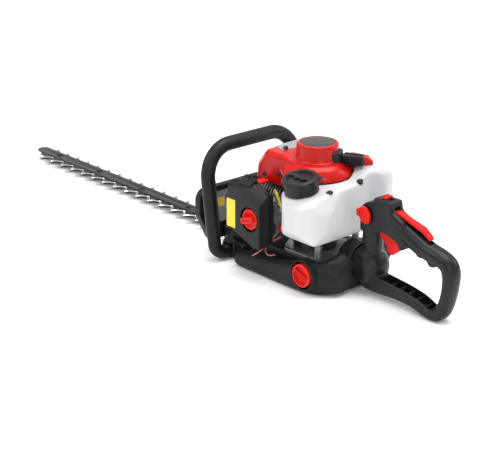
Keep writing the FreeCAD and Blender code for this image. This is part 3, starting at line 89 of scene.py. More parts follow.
# What each surface is made of. dark and light: colour drift over tintMm; rough: over glossMm;
# grain: pattern, its size and depth in mm; wear: colour of the worn outer edges.
finishPlans = {
    # Glass-filled nylon moulded in a spark-eroded tool: charcoal, satin, a fine even grain.
    # The real grain is about 0.3 mm and is drawn coarser to show.
    "nylon": {"name": "blackGlassFilledNylon", "dark": "#131416", "light": "#1b1c1e", "tintMm": 45,
              "rough": (0.36, 0.5), "glossMm": 12, "grain": ("noise", 1.1, 0.025), "wear": "#2b2c2e",
              "sockets": {"Specular IOR Level": 0.2}},
    # The same nylon polished in use, on grips: a little darker and glossier.
    "grip": {"name": "handPolishedBlackNylon", "dark": "#121315", "light": "#1c1d1f", "tintMm": 30,
             "rough": (0.28, 0.42), "glossMm": 9, "grain": ("noise", 1.4, 0.02), "wear": "#2c2d2f",
             "sockets": {"Specular IOR Level": 0.24}},
    # Satin PVC sleeve over the steel loop: a soft highlight along its length.
    "sleeve": {"name": "satinPvcSleeve", "dark": "#101112", "light": "#191a1b", "tintMm": 25,
               "rough": (0.36, 0.5), "glossMm": 7, "grain": ("noise", 1.8, 0.04),
               "sockets": {"Specular IOR Level": 0.24}},
    # Glossy ABS engine cover, moulded and unpainted: deep red with a faint orange peel.
    "redAbs": {"name": "glossyRedAbs", "dark": "#a90b06", "light": "#bf1009", "tintMm": 60,
               "rough": (0.17, 0.28), "glossMm": 14, "grain": ("noise", 3.2, 0.012), "wear": "#cf2418",
               "sockets": {"Coat Weight": 0.1, "Coat Roughness": 0.12, "Specular IOR Level": 0.2}},
    # Bright red nylon of the controls: satin, moulded fine.
    "redNylon": {"name": "brightRedNylon", "dark": "#c0100a", "light": "#d4160e", "tintMm": 22,
                 "rough": (0.3, 0.44), "glossMm": 6, "grain": ("noise", 1.3, 0.018), "wear": "#e83a2c",
                 "sockets": {"Specular IOR Level": 0.2}},
    # Blow-moulded HDPE: milky, light comes through it, long soft flow marks.
    "tank": {"name": "blowMouldedHdpe", "dark": "#bcbdc0", "light": "#c9cacb", "tintMm": 70,
             "rough": (0.32, 0.46), "glossMm": 18, "grain": ("noise", 9.0, 0.05),
             "stretch": (1.0, 1.0, 0.35),
             "sockets": {"Subsurface Weight": 0.35, "Subsurface Radius": (0.012, 0.012, 0.013),
                         "Subsurface Scale": 1.0}},
    # Rolled steel with a black oxide coat: dark dull shine, drawn along its length.
    "oxide": {"name": "blackOxideSteel", "dark": "#1a1b1c", "light": "#2a2b2d", "tintMm": 8,
              "metallic": 0.7,
              "rough": (0.32, 0.5), "glossMm": 3, "grain": ("noise", 1.2, 0.01), "stretch": (0.2, 1.0, 1.0),
              "wear": "#5b5d60"},
    # Ground bevels of the blade steel: bright, fine grinding lines across the edge.
    "ground": {"name": "groundBladeSteel", "dark": "#a6a8aa", "light": "#cfd1d3", "tintMm": 6,
               "metallic": 1.0,
               "rough": (0.22, 0.38), "glossMm": 2, "grain": ("noise", 0.8, 0.01),
               "stretch": (1.0, 0.15, 1.0)},
    # Die-cast aluminium, left as cast: pale grey, slightly pitted.
    "cast": {"name": "dieCastAluminium", "dark": "#77797b", "light": "#9c9ea0", "tintMm": 12,
             "metallic": 0.85,
             "rough": (0.42, 0.62), "glossMm": 5, "grain": ("noise", 1.6, 0.06), "wear": "#b9bbbd"},
    # Die-cast magnesium under black powder paint: matt, a little lumpy.
    "painted": {"name": "powderedBlackCasting", "dark": "#141517", "light": "#202123", "tintMm": 20,
                "rough": (0.42, 0.6), "glossMm": 6, "grain": ("noise", 2.0, 0.04), "wear": "#47494b"},
    # Machined or zinc-plated steel of shafts, gears and screws: bright with faint tool marks.
    "steel": {"name": "zincPlatedSteel", "dark": "#7d7f82", "light": "#9fa1a4", "tintMm": 7,
              "metallic": 1.0,
              "rough": (0.25, 0.42), "glossMm": 2.5, "grain": ("noise", 1.0, 0.005)},
    # Phosphated screws: almost black, dull.
    "screw": {"name": "phosphatedSteel", "dark": "#0c0d0e", "light": "#191a1b", "tintMm": 3,
              "metallic": 0.4,
              "rough": (0.34, 0.52), "glossMm": 1.5, "grain": ("noise", 0.8, 0.008), "wear": "#4a4b4d"},
    # Pressed steel silencer: straw-coloured by heat in places.
    "silencer": {"name": "heatTintedSteel", "dark": "#5c5a57", "light": "#867a68", "tintMm": 28,
                 "metallic": 0.9, "rough": (0.34, 0.55), "glossMm": 5, "grain": ("noise", 3.0, 0.02)},
    # Printed disc of the starter: smooth dark film under a clear dome.
    "badge": {"name": "darkBadgeFilm", "dark": "#1c1d1f", "light": "#232427", "tintMm": 20,
              "rough": (0.2, 0.3), "glossMm": 9, "grain": ("noise", 5.0, 0.006)},
    # Natural rubber: matt black, dusty.
    "rubber": {"name": "mattBlackRubber", "dark": "#121212", "light": "#1d1d1d", "tintMm": 10,
               "rough": (0.65, 0.8), "glossMm": 4, "grain": ("noise", 1.5, 0.04)},
    # Clear yellow polyurethane fuel line: light passes, wet shine.
    "fuelLine": {"name": "yellowPolyurethane", "dark": "#a39526", "light": "#cfc04a", "tintMm": 6,
                 "rough": (0.15, 0.25), "glossMm": 5, "grain": ("noise", 4.0, 0.01),
                 "sockets": {"Transmission Weight": 0.35}},
    # Braided nylon cord: the braid shows as fine slanting ribs about 1.5 mm apart.
    "cord": {"name": "braidedNylonCord", "dark": "#1d1d1f", "light": "#3b3b3d", "tintMm": 3,
             "rough": (0.55, 0.7), "glossMm": 3, "grain": ("wave", 1.5, 0.2)},
    # Open-cell oiled foam of the filter: grey, full of holes.
    "foam": {"name": "oiledFilterFoam", "dark": "#1f2021", "light": "#4b4c4e", "tintMm": 5,
             "rough": (0.85, 0.95), "glossMm": 5, "grain": ("cells", 1.6, 0.5)},
    # Printed vinyl labels: flat colour under a clear film.
    "yellow": {"name": "yellowVinylLabel", "dark": "#dfc01c", "light": "#ebcf2a", "tintMm": 20,
               "rough": (0.26, 0.34), "glossMm": 9, "grain": ("noise", 5.0, 0.008)},
    "silver": {"name": "silverVinylLabel", "dark": "#85888b", "light": "#969a9d", "tintMm": 20,
               "rough": (0.26, 0.36), "glossMm": 9, "grain": ("noise", 5.0, 0.008)},
    "blue": {"name": "blueVinylRoundel", "dark": "#24355f", "light": "#2f4379", "tintMm": 12,
             "rough": (0.26, 0.34), "glossMm": 9, "grain": ("noise", 5.0, 0.008)},
    # Thin PVC wire insulation: faded pink.
    "wire": {"name": "pinkPvcWire", "dark": "#b5635d", "light": "#cf8079", "tintMm": 9,
             "rough": (0.34, 0.46), "glossMm": 4, "grain": ("noise", 2.0, 0.01)},
}


def makeFinish(plan):
    finish = bpy.data.materials.new(plan["name"])
    finish.use_nodes = True
    tree = finish.node_tree
    shader = tree.nodes["Principled BSDF"]
    place = addNode(tree, "ShaderNodeTexCoord").outputs["Object"]
    if "stretch" in plan:
        place = addNode(tree, "ShaderNodeMapping", {"Vector": place}, Scale=plan["stretch"]).outputs[0]
    drift = addNode(tree, "ShaderNodeTexNoise", {"Vector": place}, Scale=1000 / plan["tintMm"], Detail=3.0)
    ramp = addNode(tree, "ShaderNodeValToRGB", {"Fac": drift.outputs["Fac"]})
    for stop, position, colour in zip(ramp.color_ramp.elements, (0.35, 0.65),
                                      (plan["dark"], plan["light"])):
        stop.position = position
        stop.color = linearColour(colour)
    colour = ramp.outputs["Color"]
    if "wear" in plan:
        outline = addNode(tree, "ShaderNodeNewGeometry").outputs["Pointiness"]
        rub = addNode(tree, "ShaderNodeMapRange", {"Value": outline}, From_Min=0.52, From_Max=0.6,
                      To_Max=0.7)
        mix = addNode(tree, "ShaderNodeMix", {0: rub.outputs["Result"], 6: colour}, data_type="RGBA")
        mix.inputs[7].default_value = linearColour(plan["wear"])
        colour = mix.outputs[2]
    tree.links.new(colour, shader.inputs["Base Color"])
    low, high = plan["rough"]
    smears = addNode(tree, "ShaderNodeTexNoise", {"Vector": place}, Scale=1000 / plan["glossMm"],
                     Detail=4.0)
    gloss = addNode(tree, "ShaderNodeMapRange", {"Value": smears.outputs["Fac"]}, To_Min=low, To_Max=high)
    tree.links.new(gloss.outputs["Result"], shader.inputs["Roughness"])
    pattern, sizeMm, depthMm = plan["grain"]
    kinds = {"noise": ("ShaderNodeTexNoise", "Fac", {"Detail": 2.0}),
             "cells": ("ShaderNodeTexVoronoi", "Distance", {}),
             "wave": ("ShaderNodeTexWave", "Fac", {"Distortion": 1.5, "bands_direction": "DIAGONAL"})}
    kind, output, extra = kinds[pattern]
    grain = addNode(tree, kind, {"Vector": place}, Scale=1000 / sizeMm, **extra)
    bump = addNode(tree, "ShaderNodeBump", {"Height": grain.outputs[output]}, Strength=0.8,
                   Distance=depthMm * 0.001)
    tree.links.new(bump.outputs["Normal"], shader.inputs["Normal"])
    shader.inputs["Metallic"].default_value = plan.get("metallic", 0.0)
    for name, number in plan.get("sockets", {}).items():
        shader.inputs[name].default_value = number
    return finish


finishes = {key: makeFinish(plan) for key, plan in finishPlans.items()}
print("materials made:", len(finishes))


# mesh helpers, all in millimetres until finishPiece scales the mesh

# Corners (u, v) or (u, v, ownRadius) of a closed outline, with arcs worked out.
def roundLoop(corners, radius, steps=6):
    loop = []
    count = len(corners)
    for i, corner in enumerate(corners):
        here = Vector(corner[:2])
        into = here - Vector(corners[i - 1][:2])
        out = Vector(corners[(i + 1) % count][:2]) - here
        bend = corner[2] if len(corner) > 2 else radius
        side = 1 if into.x * out.y - into.y * out.x > 0 else -1
        turn = into.angle(out)
        if turn < 0.03 or bend <= 0:
            loop.append(here)
            continue
        reach = min(bend * math.tan(turn / 2), 0.48 * into.length, 0.48 * out.length)
        real = reach / math.tan(turn / 2)
        start = here - into.normalized() * reach
        normal = Vector((-into.y, into.x)).normalized() * side
        centre = start + normal * real
        for k in range(steps + 1):
            a = side * turn * k / steps
            arm = start - centre
            loop.append(centre + Vector((arm.x * math.cos(a) - arm.y * math.sin(a),
                                         arm.x * math.sin(a) + arm.y * math.cos(a))))
    return loop


# A rectangle's outline with rounded corners.
def softBox(u0, u1, v0, v1, radius, steps=6):
    return roundLoop([(u0, v0), (u1, v0), (u1, v1), (u0, v1)], radius, steps)


def turnsLeft(loop):
    return sum(a[0] * b[1] - b[0] * a[1] for a, b in zip(loop, loop[1:] + loop[:1])) > 0


planes = {"xy": Matrix.Identity(4),
          "xz": Matrix(((1, 0, 0, 0), (0, 0, 1, 0), (0, 1, 0, 0), (0, 0, 0, 1))),
          "yz": Matrix(((0, 0, 1, 0), (1, 0, 0, 0), (0, 1, 0, 0), (0, 0, 0, 1)))}


# A plate between two depths, with rounded rims; a loop is a list of points or Vectors.
def slab(outline, plane, low, high, edge=0.8, holes=(), steps=3):
    shape = bpy.data.curves.new("outline", "CURVE")
    shape.dimensions = "2D"
    shape.fill_mode = "BOTH"
    shape.extrude = (high - low) / 2 - edge
    shape.bevel_depth = edge
    shape.bevel_resolution = steps
    shape.offset = -edge
    for k, loop in enumerate([outline, *holes]):
        if turnsLeft(loop) != (k == 0):
            loop = loop[::-1]
        line = shape.splines.new("POLY")
        line.points.add(len(loop) - 1)
        for p, q in zip(line.points, loop):
            p.co = (q[0], q[1], 0, 1)
        line.use_cyclic_u = True
    holder = bpy.data.objects.new("outline", shape)
    bpy.context.collection.objects.link(holder)
    mesh = bakedMesh(holder)
    mesh.transform(planes[plane] @ Matrix.Translation((0, 0, (low + high) / 2)))
    return outwards(mesh)


# The object's evaluated mesh on its own; the object goes.
def bakedMesh(obj):
    bpy.context.view_layer.update()
    graph = bpy.context.evaluated_depsgraph_get()
    mesh = bpy.data.meshes.new_from_object(obj.evaluated_get(graph), depsgraph=graph)
    bpy.data.objects.remove(obj)
    return mesh


# Merge doubles and point the faces of a closed mesh outwards.
def outwards(mesh, merge=0.0005):
    work = bmesh.new()
    work.from_mesh(mesh)
    bmesh.ops.remove_doubles(work, verts=work.verts, dist=merge)
    bmesh.ops.recalc_face_normals(work, faces=work.faces)
    work.to_mesh(mesh)
    work.free()
    return mesh


def meshOf(work, name):
    mesh = bpy.data.meshes.new(name)
    work.to_mesh(mesh)
    work.free()
    return mesh


# Close the skin between rings of as many points, first and last included.
def skinned(work, rings, name):
    count = len(rings[0])
    for low, high in zip(rings, rings[1:]):
        for k in range(count):
            m = (k + 1) % count
            work.faces.new((low[k], low[m], high[m], high[k]))
    work.faces.new(rings[0])
    work.faces.new(rings[-1])
    return outwards(meshOf(work, name))


axes = {"z": (0, 0, 1), "-z": (0, 0, -1), "x": (1, 0, 0), "-x": (-1, 0, 0), "y": (0, 1, 0),
        "-y": (0, -1, 0)}
sides = ((-1, "left"), (1, "right"))
sideAxis = {-1: "-y", 1: "y"}


# Two distances from the middle plane, in rising order on the given side.
def span(side, near, far):
    return sorted((side * near, side * far))


# Turn a profile of (radius, height) about an axis; wave(angle, r, h) may change a radius.
def lathe(profile, axis="z", centre=(0, 0, 0), steps=64, wave=None):
    work = bmesh.new()
    rings = []
    for r, h in profile:
        ring = []
        for k in range(steps if r > 0 else 1):
            a = 2 * math.pi * k / steps
            far = wave(a, r, h) if wave and r > 0 else r
            ring.append(work.verts.new((far * math.cos(a), far * math.sin(a), h)))
        rings.append(ring)
    for low, high in zip(rings, rings[1:]):
        for k in range(steps):
            a, b = low[k % len(low)], low[(k + 1) % len(low)]
            c, d = high[(k + 1) % len(high)], high[k % len(high)]
            corners = list(dict.fromkeys((a, b, c, d)))
            if len(corners) > 2:
                work.faces.new(corners)
    for ring in (rings[0], rings[-1]):
        if len(ring) > 1:
            work.faces.new(ring)
    mesh = meshOf(work, "turned")
    aim = Vector(axes[axis] if isinstance(axis, str) else axis)
    turn = Vector((0, 0, 1)).rotation_difference(aim).to_matrix().to_4x4()
    mesh.transform(Matrix.Translation(centre) @ turn)
    return outwards(mesh)


# A plain round bar between two heights on an axis.
def rod(radius, low, high, axis="z", centre=(0, 0, 0), steps=64):
    return lathe([(0, low), (radius, low), (radius, high), (0, high)], axis, centre, steps)


# Skin along (x, y, z, halfTall, halfWide) stations; sections are soft rectangles.
def sweep(stations, steps, power):
    side = Vector((0, 1, 0))
    places = [Vector(s[:3]) for s in stations]
    work = bmesh.new()
    rings = []
    for i, s in enumerate(stations):
        along = (places[min(i + 1, len(places) - 1)] - places[max(i - 1, 0)]).normalized()
        across = (side - along * side.dot(along)).normalized()
        up = along.cross(across)
        ring = []
        for k in range(steps):
            a = 2 * math.pi * k / steps
            c, d = math.cos(a), math.sin(a)
            u = math.copysign(abs(c) ** (2 / power), c) * s[3]
            v = math.copysign(abs(d) ** (2 / power), d) * s[4]
            ring.append(work.verts.new(places[i] + up * u + across * v))
        rings.append(ring)
    return skinned(work, rings, "swept")


# Catmull-Rom points between given stations.
def smoothStations(stations, steps=6):
    out = []
    for i in range(len(stations) - 1):
        a, b = stations[max(i - 1, 0)], stations[i]
        c, d = stations[i + 1], stations[min(i + 2, len(stations) - 1)]
        for k in range(steps):
            t = k / steps
            out.append(tuple(0.5 * (2 * q + (r - p) * t + (2 * p - 5 * q + 4 * r - s) * t * t
                                    + (3 * q - p - 3 * r + s) * t ** 3) for p, q, r, s in zip(a, b, c, d)))
    out.append(stations[-1])
    return out


def block(x0, x1, y0, y1, z0, z1):
    work = bmesh.new()
    bmesh.ops.create_cube(work, size=1)
    mesh = meshOf(work, "block")
    size = Matrix.Diagonal((x1 - x0, y1 - y0, z1 - z0, 1))
    mesh.transform(Matrix.Translation(((x0 + x1) / 2, (y0 + y1) / 2, (z0 + z1) / 2)) @ size)
    return mesh


# A merged copy of a CAD node's mesh, in millimetres.
def nodeCopy(name):
    mesh = frame["nodes"][name].data.copy()
    mesh.transform(Matrix.Scale(1000, 4))
    mesh.materials.clear()
    return outwards(mesh, 0.002)


def holderFor(mesh, name="work"):
    obj = bpy.data.objects.new(name, mesh)
    bpy.context.collection.objects.link(obj)
    return obj


# Join meshes to a base, cut others from it, and keep what it shares with the rest.
def carve(base, adds=(), cuts=(), meets=()):
    obj = holderFor(base)
    tools = []
    deeds = [(m, "UNION") for m in adds] + [(m, "DIFFERENCE") for m in cuts]
    deeds += [(m, "INTERSECT") for m in meets]
    for mesh, deed in deeds:
        tool = holderFor(mesh)
        tools.append(tool)
        step = obj.modifiers.new("carve", "BOOLEAN")
        step.operation = deed
        step.solver = "EXACT"
        step.object = tool
    mesh = bakedMesh(obj)
    for tool in tools:
        bpy.data.objects.remove(tool)
    return mesh


# Voxel remesh and smooth: the soft corners of a moulded part.
def mould(mesh, voxel, ease):
    obj = holderFor(mesh)
    skin = obj.modifiers.new("skin", "REMESH")
    skin.mode = "VOXEL"
    skin.voxel_size = voxel
    soft = obj.modifiers.new("soft", "SMOOTH")
    soft.factor = 0.5
    soft.iterations = ease
    return bakedMesh(obj)


# Round the sharp edges of a mesh made of flat faces.
def bevelled(mesh, width, segments=2, angle=30):
    obj = holderFor(mesh)
    flat = obj.modifiers.new("flat", "DECIMATE")
    flat.decimate_type = "DISSOLVE"
    flat.angle_limit = math.radians(1)
    edge = obj.modifiers.new("edge", "BEVEL")
    edge.width = width
    edge.segments = segments
    edge.limit_method = "ANGLE"
    edge.angle_limit = math.radians(angle)
    return bakedMesh(obj)


def joined(*meshes):
    work = bmesh.new()
    for mesh in meshes:
        work.from_mesh(mesh)
    return meshOf(work, "joined")


# Scale a mesh to metres, give it its material and put it on its body.
def finishPiece(name, mesh, finish, body, replaces=(), sharp=35):
    mesh.transform(Matrix.Scale(0.001, 4))
    if finish:
        mesh.materials.clear()
        mesh.materials.append(finishes[finish])
    mesh.shade_smooth()
    mesh.set_sharp_from_angle(angle=math.radians(sharp))
    obj = holderFor(mesh, name)
    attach(obj, body)
    if replaces:
        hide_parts(*replaces)


# Cut a mesh with a plane and keep the side that the normal points away from.
def shave(mesh, point, normal):
    waste = block(-400, 400, -400, 400, 0, 800)
    waste.transform(Matrix.Translation(point) @ Vector(normal).to_track_quat("Z", "Y").to_matrix().to_4x4())
    return carve(mesh, cuts=[waste])


# An open path through points, with arcs at its inner corners.
def roundPath(points, radius, steps=8):
    points = [Vector(p) for p in points]
    path = [points[0]]
    for before, here, after in zip(points, points[1:], points[2:]):
        into, out = here - before, after - here
        turn = into.angle(out)
        reach = min(radius * math.tan(turn / 2), 0.49 * into.length, 0.49 * out.length)
        real = reach / math.tan(turn / 2)
        start, end = here - into.normalized() * reach, here + out.normalized() * reach
        middle = here + (out.normalized() - into.normalized()).normalized() * (real / math.cos(turn / 2))
        arm = start - middle
        for k in range(steps + 1):
            path.append(middle + Matrix.Rotation(turn * k / steps, 3, into.cross(out)) @ arm)
    path.append(points[-1])
    return path


# A round tube along a path; radius is a number or one for each point.
def pipe(path, radius, steps=20):
    path = [Vector(p) for p in path]
    radii = radius if isinstance(radius, (list, tuple)) else [radius] * len(path)
    work = bmesh.new()
    side = None
    rings = []
    for i, (here, r) in enumerate(zip(path, radii)):
        along = (path[min(i + 1, len(path) - 1)] - path[max(i - 1, 0)]).normalized()
        side = along.orthogonal() if side is None else side - along * side.dot(along)
        side.normalize()
        up = along.cross(side)
        turns = [2 * math.pi * k / steps for k in range(steps)]
        rings.append([work.verts.new(here + (side * math.cos(a) + up * math.sin(a)) * r) for a in turns])
    return skinned(work, rings, "pipe")


# Geometry Nodes: a unit on given spots, or in a row of count units.
def repeated(unit, finish, spots=None, count=1, step=(0, 0, 0)):
    tree = bpy.data.node_groups.new("repeatUnit", "GeometryNodeTree")
    face = tree.interface
    face.new_socket("Geometry", in_out="INPUT", socket_type="NodeSocketGeometry")
    face.new_socket("Geometry", in_out="OUTPUT", socket_type="NodeSocketGeometry")
    inputs = {"Unit": ("Object", holderFor(unit)), "Finish": ("Material", finishes[finish]),
              "Count": ("Int", count), "Step": ("Vector", step)}
    ids = {name: face.new_socket(name, in_out="INPUT", socket_type="NodeSocket" + kind).identifier
           for name, (kind, _) in inputs.items()}
    given = addNode(tree, "NodeGroupInput").outputs
    line = addNode(tree, "GeometryNodeMeshLine", {"Count": given["Count"], "Offset": given["Step"]})
    shape = addNode(tree, "GeometryNodeObjectInfo", {"Object": given["Unit"]}).outputs["Geometry"]
    points = given["Geometry"] if spots else line.outputs[0]
    placed = addNode(tree, "GeometryNodeInstanceOnPoints", {"Points": points, "Instance": shape})
    real = addNode(tree, "GeometryNodeRealizeInstances", {0: placed.outputs[0]})
    dressed = addNode(tree, "GeometryNodeSetMaterial", {"Geometry": real.outputs[0],
                                                        "Material": given["Finish"]})
    addNode(tree, "NodeGroupOutput", {0: dressed.outputs[0]})
    base = bpy.data.meshes.new("spots")
    base.from_pydata([tuple(p) for p in spots or [(0, 0, 0)]], [], [])
    obj = holderFor(base)
    modifier = obj.modifiers.new("repeat", "NODES")
    modifier.node_group = tree
    for name, (_, setting) in inputs.items():
        modifier[ids[name]] = setting
    mesh = bakedMesh(obj)
    bpy.data.objects.remove(inputs["Unit"][1])
    return mesh


# A cap screw with a hexagon socket, its head's seat at the origin and its axis along z.
def capScrew(radius, high, socket=0.45):
    head = lathe([(0, 0), (radius, 0), (radius, high * 0.8), (radius * 0.86, high), (0, high)], steps=24)
    hole = rod(radius * socket, high * 0.4, high + 1, steps=6)
    return carve(head, cuts=[hole])


def turned(mesh, axis):
    mesh.transform(Vector((0, 0, 1)).rotation_difference(Vector(axes[axis])).to_matrix().to_4x4())
    return mesh


# A CAD node's own shape with its sharp edges rounded, standing for that node.
def refine(node, finish, width):
    finishPiece(node + "_skin", bevelled(nodeCopy(node), width), finish, bodyOf[node], [node])


bodyOf = {name: body for body, members in frame["record"]["behaviour"]["bodies"].items()
          for name in members}
setUpCamera()


# front loop handle: steel tube with a sleeve, in two moulded sockets

loop = {"halfWide": 98.0, "low": 12.5, "top": 191.0, "x": -138.0, "lean": 7.7, "topBend": 52.0,
        "lowBend": 32.0, "endY": 58.0, "sleeveRadius": 12.5, "tubeRadius": 11.2, "sleeveEnd": 42.0}


def leaned(y, h):
    a = math.radians(loop["lean"])
    return Vector((loop["x"] - (h - loop["low"]) * math.sin(a), y,
                   loop["low"] + (h - loop["low"]) * math.cos(a)))


def makeLoopHandle():
    w, low, top = loop["halfWide"], loop["low"], loop["top"]
    corners = [(-w, loop["sleeveEnd"]), (-w, top), (w, top), (w, loop["sleeveEnd"])]
    path = roundPath([leaned(y, h) for y, h in corners], loop["topBend"], 20)
    # the long straight runs get stations of their own, for the soft swell at the sleeve's ends
    start, end = path[0], path[-1]
    up = (path[1] - path[0]).normalized()
    path = [start, start + up * 0.8, start + up * 2.5, start + up * 7, start + up * 9] + path[1:-1]
    down = (end - path[-1]).normalized()
    path += [end - down * 9, end - down * 7, end - down * 2.5, end - down * 0.8, end]
    full = loop["sleeveRadius"]
    radii = [full - 1.2, full - 0.2, full, full, full - 0.35] + [full - 0.35] * (len(path) - 10)
    radii += [full - 0.35, full, full, full - 0.2, full - 1.2]
    finishPiece("loop_sleeve", pipe(path, radii, 32), "sleeve", "chassis", ["front_handle"])
    for side, name in sides:
        foot = roundPath([leaned(side * w, loop["sleeveEnd"] + 6), leaned(side * w, low),
                          leaned(side * loop["endY"], low)], loop["lowBend"], 14)
        finishPiece("loop_foot_" + name, pipe(foot, loop["tubeRadius"], 28), "sleeve", "chassis")


def makeSockets():
    for side, name in sides:
        base = bevelled(block(-156, -106, *span(side, 50, 66), 0, 27), 5, 4)
        collar = lathe([(0, -4), (15.6, -4), (16.4, -3), (16.4, 3.4), (15.2, 4.6), (11.6, 4.6), (11.6, 2),
                        (0, 2)], sideAxis[side], (-138, side * 66, 16.6), 40)
        ribs = [slab(softBox(-128 + 7 * k, -125.4 + 7 * k, 4, 25.4, 0.8), "xz", *span(side, 64, 67.6), 0.5)
                for k in range(3)]
        finishPiece("socket_block_" + name, joined(base, *ribs), "nylon", "chassis", ["handle_brackets"])
        finishPiece("socket_collar_" + name, collar, "nylon", "chassis")


makeLoopHandle()
makeSockets()
print("loop handle")


# cutter: bar, two blades with ground teeth, shouldered bolts

cutter = {"low": {"upper_blade": 14.4, "lower_blade": 11.6}, "pitch": 35.0, "teeth": 17, "lead": -768.0,
          "tipHalf": 28.85, "spine": 12.0, "rootFrom": 9.0, "rootTo": 24.0, "flat": 4.0, "thick": 2.5,
          "bevel": 2.6, "boltFirst": -741.0, "boltStep": 137.0}


# One hooked tooth towards -y, its tip's lead corner at x=0; the two cutting edges are ground back on top.
def makeTooth(low):
    c = cutter
    tip, root = -c["tipHalf"], -(c["spine"] - 1.5)
    lowLoop = [(c["rootFrom"] + 1.5, root), (4.6, -17.5), (1.2, -24.0), (0, tip + 1.0), (0.6, tip),
               (c["flat"] - 0.4, tip), (c["flat"] + 0.2, tip + 0.7), (6.8, -24.6), (11.5, -19.4),
               (c["rootTo"] - 4, -14.4), (c["rootTo"] + 3, root)]
    middle = Vector((6.5, -18.0))
    b = c["bevel"]
    highLoop = []
    for i, p in enumerate(lowLoop):
        before, after = Vector(lowLoop[i - 1]), Vector(lowLoop[(i + 1) % len(lowLoop)])
        here = Vector(p)
        into, out = (here - before).normalized(), (after - here).normalized()
        normal = Vector((-(into + out).y, (into + out).x)).normalized()
        if normal.dot(middle - here) < 0:
            normal = -normal
        width = 0 if i in (0, len(lowLoop) - 1) else b * (0.55 if i in (3, 4, 5, 6) else 1.0)
        highLoop.append(here + normal * width)
    work = bmesh.new()
    top = low + c["thick"]
    edge = low + c["thick"] * 0.5
    rings = [[work.verts.new((p[0], p[1], z)) for p in loopPoints]
             for loopPoints, z in ((lowLoop, low), (lowLoop, edge), (highLoop, top))]
    return skinned(work, rings, "tooth")


def makeBlade(name):
    c = cutter
    tooth = makeTooth(c["low"][name])
    spots = [(c["lead"] + c["pitch"] * i, 0, 0) for i in range(c["teeth"])]
    near = repeated(tooth.copy(), "oxide", spots=spots)
    far = repeated(tooth, "oxide", spots=[(x - c["pitch"] / 2, 0, 0) for x, _, _ in spots])
    far.transform(Matrix.Diagonal((1, -1, 1, 1)))
    outwards(far)
    mesh = joined(spineOnly(name), near, far)
    mesh.materials.clear()
    mesh.materials.append(finishes["oxide"])
    mesh.materials.append(finishes["ground"])
    for face in mesh.polygons:
        slope = face.normal.z
        if 0.15 < abs(slope) < 0.96 and abs(face.center.y) > c["spine"] - 1:
            face.material_index = 1
    finishPiece(name + "_ground", mesh, None, name + "_body", [name], sharp=25)


# The blade's bar and yoke without the CAD teeth; the ground ones stand in their place.
def spineOnly(name):
    teeth = [block(-900, -186, *span(side, 11.9, 60), 0, 40) for side in (-1, 1)]
    return carve(nodeCopy(name), cuts=teeth)


for blade in cutter["low"]:
    makeBlade(blade)
refine("guide_bar", "oxide", 0.5)


def makeBolts():
    c = cutter
    nut = lathe([(0, 20.7), (4.5, 20.7), (4.5, 21.0), (3.9, 21.2), (3.9, 22.7), (3.5, 23.1), (2.2, 23.2),
                 (0, 23.2)], steps=6)
    washer = lathe([(0, 20.7), (6.4, 20.7), (6.6, 20.9), (6.6, 21.2), (6.2, 21.4), (0, 21.4)], steps=28)
    stud = lathe([(0, 20.8), (2.0, 20.8), (2.0, 23.1), (1.7, 23.3), (0, 23.3)], steps=16)
    shank = rod(2.5, 11.0, 20.9, steps=16)
    head = lathe([(0, 8.7), (4.2, 8.7), (4.5, 9.0), (4.5, 11.3), (0, 11.3)], steps=28)
    spots = [(c["boltFirst"] + c["boltStep"] * i, 0, 0) for i in range(5)]
    mesh = repeated(joined(nut, washer, stud, shank, head), "screw", spots=spots)
    finishPiece("blade_bolt_set", mesh, "screw", "chassis", ["blade_bolts"])


makeBolts()
print("cutter")


# hand guard with its blank label panel

guard = {"halfWide": 105.0, "low": 23.0, "top": 117.0, "corner": 20.0, "front": -182.0, "back": -178.0,
         "lip": -169.0, "rim": 6.0}


def makeGuard():
    g = guard
    wide, thin = g["halfWide"], g["halfWide"] - g["rim"]
    outline = [(-82, g["low"], 12), (82, g["low"], 12), (wide, 72, 24), (wide, g["top"], g["corner"]),
               (-wide, g["top"], g["corner"]), (-wide, 72, 24)]
    inner = [(-80, g["low"] + g["rim"], 8), (80, g["low"] + g["rim"], 8), (thin, 73, 20),
             (thin, g["top"] - g["rim"], 15), (-thin, g["top"] - g["rim"], 15), (-thin, 73, 20)]
    plate = slab(roundLoop(outline, 10, 8), "yz", g["front"], g["back"], 1.0)
    rim = slab(roundLoop(outline, 10, 8), "yz", g["front"] + 1, g["lip"], 1.4, [roundLoop(inner, 7, 8)])
    ribs = [slab(softBox(y - 1.1, y + 1.1, 74, 106, 0.8, 3), "yz", g["back"] - 0.5, g["back"] + 2.2, 0.4)
            for y in (-92, -87, 87, 92)]
    rim = carve(rim, cuts=[block(-177.9, -160, -50.6, 50.6, 20, 41)])
    finishPiece("hand_guard", joined(plate, rim, *ribs), "nylon", "chassis", ["blade_guard"])
    panel = slab(softBox(-84, 84, 48, 104, 5), "yz", g["back"] - 0.2, g["back"] + 0.5, 0.12)
    finishPiece("guard_panel", panel, "silver", "chassis")
    roundel = lathe([(0, 0), (8.6, 0), (9, 0.25), (9, 0.5), (0, 0.5)], "x", (g["back"] + 0.4, -33, 89), 40)
    finishPiece("guard_roundel", roundel, "blue", "chassis")
    tag = slab(softBox(-66, -44, 76, 92, 3), "yz", g["back"] + 0.4, g["back"] + 0.8, 0.1)
    finishPiece("guard_tag", tag, "yellow", "chassis")


makeGuard()
print("guard")


# filter cover, its knob, and the filter base behind it

airCover = {"front": -108.0, "back": -85.2, "knobX": -43.0, "knobZ": 102.0, "recess": 21.0, "knob": 17.0}


